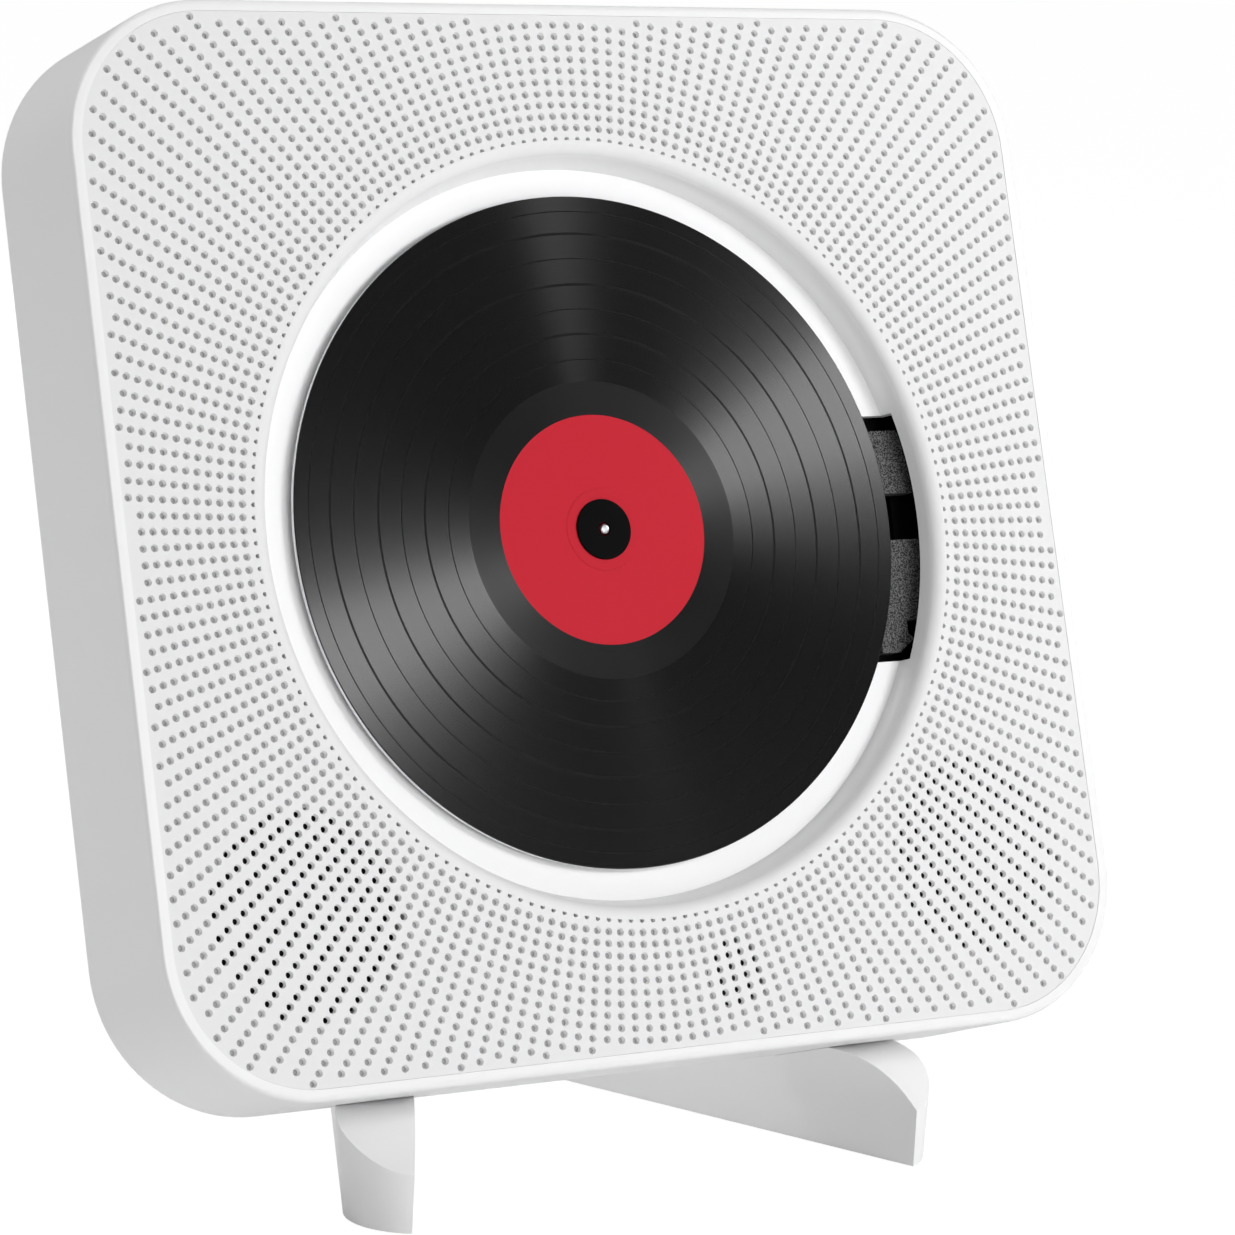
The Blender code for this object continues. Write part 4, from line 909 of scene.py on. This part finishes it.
def hub_parts():
    post_front = disc_low.y - post_proud
    flange_front = disc_high.y + fit_gap
    flange_back = flange_front + flange_thickness
    post_back = face_box("turntable")[1].y
    post = [(shaft_bore_radius, post_front), (hub_post_radius, post_front),
            (hub_post_radius, flange_front), (flange_radius - flange_chamfer, flange_front),
            (flange_radius, flange_front + flange_chamfer), (flange_radius, flange_back),
            (boss_radius, flange_back), (boss_radius, post_back), (shaft_bore_radius, post_back)]
    settle(lathe("hub_post", post, steps=hub_steps), "spindle", red, ["turntable"])
    radius = face_box("hub_cap")[1].x
    cap_front = post_front - cap_proud
    cap = [(shaft_bore_radius, cap_front)]
    cap += arc((radius - cap_rounding, cap_front + cap_rounding), cap_rounding, 270, 360, 6)
    cap += [(radius, post_front), (shaft_bore_radius, post_front)]
    settle(lathe("hub_button", cap, steps=hub_steps), "spindle", hub_black,
           ["hub_cap"])
    shaft_high = face_box("spindle_shaft")[1]
    tip_front = cap_front - tip_proud
    tip = [(0, tip_front)]
    tip += arc((shaft_high.x - tip_rounding, tip_front + tip_rounding), tip_rounding,
               270, 360, 5)
    tip += [(shaft_high.x, shaft_high.y), (0, shaft_high.y)]
    settle(lathe("shaft_tip", tip, steps=48), "spindle", steel, ["spindle_shaft"])


# Rear cover and screws

def boss_centres():
    """Middles of the four cover screws."""
    places = []
    for index in range(4):
        low, high = face_box("cover_screw_%d" % (index + 1))
        places.append(((low.x + high.x) / 2, (low.z + high.z) / 2))
    return places


def rear_cover():
    front, back = cover_low.y, cover_high.y
    inset = wall + fit_gap
    outline = rounded_box(half_width - inset, half_height - inset, corner_radius - inset)
    holes = [circle(boss_hole_radius, centre) for centre in boss_centres()]
    low, high = face_box("hanger_plate")
    middle = ((low.x + high.x) / 2, (low.z + high.z) / 2)
    holes.append(rounded_box((high.x - low.x) / 2 + fit_gap, (high.z - low.z) / 2 + fit_gap,
                             wall, 12, middle))
    for index in range(vent_count):
        holes.append(rounded_box(vent_half_width, vent_half_height, vent_half_height, 8,
                                 (0, first_vent - vent_pitch * index)))
    cover = plate("rear_moulding", outline, front, back, holes)
    soften(cover, cover_edge, 2)
    settle(cover, "player", white_fine, ["rear_cover"])
    shade_flat(cover)


def cover_screws():
    for index, centre in enumerate(boss_centres()):
        name = "cover_screw_%d" % (index + 1)
        low, high = face_box(name)
        head_front = high.y - screw_head_height
        profile = [(0, low.y), (shank_radius / 2, low.y), (shank_radius, low.y + shank_radius),
                   (shank_radius, head_front), (screw_head_radius, head_front)]
        profile += arc((screw_head_radius - screw_rounding, high.y - screw_rounding),
                       screw_rounding, 0, 90, 4)
        profile += [(0, high.y)]
        screw = lathe("pan_screw_%d" % (index + 1), profile, centre, 32)
        slots = []
        for wide, tall in ((recess_long, recess_short), (recess_short, recess_long)):
            slots.append(block(
                "recess", (centre[0] - wide, high.y - recess_depth, centre[1] - tall),
                (centre[0] + wide, high.y + overrun, centre[1] + tall)))
        cut(screw, slots)
        settle(screw, "player", steel, [name])


# Keys with generic symbols, and the sockets' contacts

def triangle(x, y, size, direction=1):
    return [(x - direction * size / 2, y - size / 2), (x + direction * size / 2, y),
            (x - direction * size / 2, y + size / 2)]


def stroke(x, y, width, height):
    return [(x - width / 2, y - height / 2), (x + width / 2, y - height / 2),
            (x + width / 2, y + height / 2), (x - width / 2, y + height / 2)]


def key_symbol(name, x, y):
    """Flat outlines of a generic symbol on a key's top."""
    size, thin = mark_size, mark_line
    if name == "button_power":
        return [arc((x, y), size / 2, 120, 420, 20)
                + arc((x, y), size / 2 - thin, 420, 120, 20),
                stroke(x, y + size / 2 - thin, thin, size / 2)]
    if name == "button_play":
        return [triangle(x, y, size)]
    if name == "button_next":
        return [triangle(x - size / 4, y, size), stroke(x + size / 2, y, thin, size)]
    if name == "button_previous":
        return [triangle(x + size / 4, y, size, -1), stroke(x - size / 2, y, thin, size)]
    if name == "button_volume_up":
        return [stroke(x, y, size, thin), stroke(x, y + size / 3, thin, size / 3),
                stroke(x, y - size / 3, thin, size / 3)]
    if name == "button_volume_down":
        return [stroke(x, y, size, thin)]
    return [circle(size / 4, (x, y), 24)]


def keys():
    for name in key_nodes():
        low, high = key_box(name)
        label = name.removeprefix("button_")
        cap = block("key_cap_" + label, low, high, key_edge, 4)
        settle(cap, name, white, [name])
        middle = (low + high) / 2
        marks = []
        for outline in key_symbol(name, middle.x, middle.y):
            mark = plate("mark", outline, 0, mark_thickness)
            lay = Matrix(((1, 0, 0, 0), (0, 0, 1, 0), (0, 1, 0, high.z), (0, 0, 0, 1)))
            mark.data.transform(lay)
            marks.append(mark)
        settle(join(marks, "key_mark_" + label), name, symbol_grey)


def socket_ends(node):
    """Middles of a socket's inner and outer end."""
    low, high = face_box(node)
    middle = (low + high) / 2
    return Vector((low.x, middle.y, middle.z)), Vector((high.x, middle.y, middle.z))


def socket_contacts():
    inner, outer = socket_ends("dc_socket")
    pin = bar("power_pin", pin_radius, inner + rightward * contact_start,
              outer - rightward * pin_setback)
    settle(pin, "player", steel)
    inner, outer = socket_ends("audio_socket")
    profile = [(ring_inner, 0), (ring_outer, 0),
               (ring_outer, ring_depth), (ring_inner, ring_depth)]
    ring = lathe("audio_ring", profile, steps=48)
    ring.data.transform(Matrix.Translation(outer - rightward * ring_depth)
                        @ Matrix.Rotation(-math.pi / 2, 4, 'Z'))
    settle(ring, "player", steel)
    inner, outer = socket_ends("usb_socket")
    settle(block("usb_tongue", inner + usb_low, outer + usb_high, usb_edge), "player",
           nylon)


# Feet

def foot_point(side, along, out, up):
    """Along the foot from its nose, out from its inner side, up from the sole."""
    x = foot_half_gap - along * math.sin(foot_splay) + out * math.cos(foot_splay)
    y = face_origin.y - foot_front + along * math.cos(foot_splay) + out * math.sin(foot_splay)
    return (side * x, y, up + pad_proud)


def foot_plan(thickness):
    nose = [(foot_nose_plan * (1 - math.cos(a)), thickness * math.sin(a))
            for a in quarter_turn(foot_arc_steps)]
    tail = [(foot_length - foot_tail_radius + foot_tail_radius * math.sin(a),
             thickness + foot_widening - foot_tail_radius + foot_tail_radius * math.cos(a))
            for a in quarter_turn(foot_tail_steps)]
    return nose + tail + [(foot_length, 0.0)]


def foot_side():
    rise = foot_height - foot_front_edge
    radius = (foot_nose_length ** 2 + rise ** 2) / (2 * rise)
    start = math.asin(foot_nose_length / radius)
    nose = [(foot_nose_length - radius * math.sin(a), foot_height - radius * (1 - math.cos(a)))
            for a in (start * (1 - i / foot_arc_steps) for i in range(foot_arc_steps + 1))]
    return [(-overrun, -overrun), (-overrun, foot_front_edge)] + nose + [
        (foot_flat_end, foot_height), (foot_back_edge, foot_back_edge_height),
        (foot_tail_start, foot_tail_start_height),
        (foot_length + overrun, foot_tail_height), (foot_length + overrun, -overrun)]


def foot(name, side):
    """A wedge under the body, cut to its underside, with its tongue and the sole's recess."""
    thick_top = foot_thickness + foot_draft
    piece = loft(name + "_moulding", [
        [foot_point(side, along, out, up) for along, out in foot_plan(thickness)]
        for thickness, up in ((foot_thickness, 0.0), (thick_top, foot_height + overrun))])
    profile = loft("profile", [
        [foot_point(side, along, out, up) for along, up in foot_side()]
        for out in (-overrun, thick_top + foot_widening + overrun)])
    cut(piece, [profile], 'INTERSECT')
    underside = [(-body_depth, -half_height - seam_gap), (0, -half_height - seam_gap),
                 (body_depth, -shell_high.z - seam_gap),
                 (body_depth + foot_seat_run, -shell_high.z - seam_gap),
                 (body_depth + foot_seat_run, 0), (-body_depth, 0)]
    seat = loft("seat", [[(x, depth, z) for depth, z in underside]
                         for x in (-half_width, half_width)])
    seat.data.transform(face_to_row)
    cut(piece, [seat])
    soften(piece, foot_edge, 4, 30)
    middle = side * tongue_centre
    tongue = block(
        "tongue", (middle - tongue_half_width, tongue_front, -half_height - tongue_reach),
        (middle + tongue_half_width, tongue_back, face_box(name)[1].z), tongue_edge)
    tongue.data.transform(face_to_row)
    recess = loft("recess", [
        [foot_point(side, along, out, up) for along, out in pad_outline()]
        for up in (-overrun, pad_recess + fit_gap)])
    cut(piece, [tongue], 'UNION')
    cut(piece, [recess])
    hand_over(piece, name, white, [name])


def pad_outline():
    """The rubber sole's outline with a gap round it."""
    start, end = pad_start - fit_gap, pad_end + fit_gap
    inner, outer = pad_inset - fit_gap, pad_inset + pad_width + fit_gap
    return [(start, inner), (end, inner), (end, outer), (start, outer)]


# Studio

def studio():
    world = bpy.data.worlds.new("studio")
    bpy.context.scene.world = world
    world.use_nodes = True
    tree = world.node_tree
    tree.nodes.clear()
    path = add(tree, 'ShaderNodeLightPath')
    ambient, dim, plain = (
        add(tree, 'ShaderNodeBackground', None, {"Color": (1, 1, 1, 1), "Strength": strength})
        for strength in (ambient_strength, mirrored_strength, backdrop_strength))
    glossy = add(tree, 'ShaderNodeMixShader', None,
                 {0: path.outputs["Is Glossy Ray"], 1: ambient.outputs[0], 2: dim.outputs[0]})
    seen = add(tree, 'ShaderNodeMixShader', None,
               {0: path.outputs["Is Camera Ray"], 1: glossy.outputs[0], 2: plain.outputs[0]})
    add(tree, 'ShaderNodeOutputWorld', None, {"Surface": seen.outputs[0]})

    shape = bmesh.new()
    bmesh.ops.create_grid(shape, x_segments=1, y_segments=1, size=3.0)
    floor = finish_mesh("floor", shape)
    material, tree, shader = new_material("floor", Base_Color=(0.9, 0.9, 0.9, 1), Roughness=0.9)
    path = add(tree, 'ShaderNodeLightPath')
    glow = add(tree, 'ShaderNodeEmission', None, {"Strength": floor_glow})
    lit = math_node(tree, 'MULTIPLY', path.outputs["Is Camera Ray"], floor_glow_share)
    mix = add(tree, 'ShaderNodeMixShader', None,
              {0: lit, 1: shader.outputs[0], 2: glow.outputs[0]})
    connect(tree, tree.nodes["Material Output"], {"Surface": mix.outputs[0]})
    floor.data.materials.append(material)


def area_light(name, direction, long_side, distance, length, width, power):
    """A softbox in a direction of the face frame, aimed at the hub."""
    data = bpy.data.lights.new(name, 'AREA')
    data.shape = 'RECTANGLE'
    data.size = length
    data.size_y = width
    data.energy = power
    lamp = bpy.data.objects.new(name, data)
    bpy.context.scene.collection.objects.link(lamp)
    toward = (face_axes @ Vector(direction)).normalized()
    along = face_axes @ Vector(long_side)
    along = (along - toward * along.dot(toward)).normalized()
    turn = Matrix((along, toward.cross(along), toward)).transposed().to_4x4()
    lamp.matrix_world = Matrix.Translation(hub + toward * distance) @ turn
    return lamp


def lights():
    """Key and fills for the white parts, and strips mirrored in the disc."""
    for name, direction, distance, size, power in (
            ("key_softbox", (0.54, -0.82, 0.10), 1.3, 0.35, 6.7),
            ("front_softbox", (0.20, -0.95, -0.22), 1.8, 0.8, 8.9),
            ("left_fill", (-1.0, 0.10, 0.05), 1.2, 0.8, 1.05),
            ("top_fill", (-0.35, 0.12, 1.0), 1.2, 0.8, 6.0),
            ("back_fill", (0.35, 1.0, 0.35), 1.2, 0.8, 5.0)):
        lamp = area_light(name, direction, (0, 0, 1), distance, size, size, power)
        lamp.visible_glossy = False
    for name, direction, long_side, distance, length, width, power in (
            ("right_strip", (0.749, -0.623, 0.228), (0.732, 1.008, 0.349), 1.1, 0.55, 0.15, 2.15),
            ("left_strip", (0.169, -0.986, 0.001), (0.981, 0.168, 0.319), 1.1, 0.55, 0.15, 2.4),
            ("upper_strip", (0.47, -0.77, 0.43), (0, 0, 1), 1.2, 0.20, 0.07, 0.22)):
        strip = area_light(name, direction, long_side, distance, length, width, power)
        strip.visible_diffuse = False


def camera():
    data = bpy.data.cameras.new("photo_view")
    data.lens = lens_mm
    data.sensor_width = 36.0
    view = bpy.data.objects.new("photo_view", data)
    bpy.context.scene.collection.objects.link(view)
    forward = Vector((math.sin(camera_azimuth) * math.cos(camera_elevation),
                      math.cos(camera_azimuth) * math.cos(camera_elevation),
                      -math.sin(camera_elevation)))
    view.location = hub + aim_from_hub - forward * camera_distance
    turn = forward.to_track_quat('-Z', 'Y') @ Quaternion((0, 0, 1), camera_roll)
    view.rotation_euler = turn.to_euler()
    bpy.context.scene.camera = view


front_shell()
fascia()
disc()
hub_parts()
rear_cover()
cover_screws()
keys()
socket_contacts()
foot("left_foot", -1)
foot("right_foot", 1)
studio()
lights()
camera()
bpy.context.scene.view_settings.view_transform = 'Standard'
bpy.context.view_layer.update()
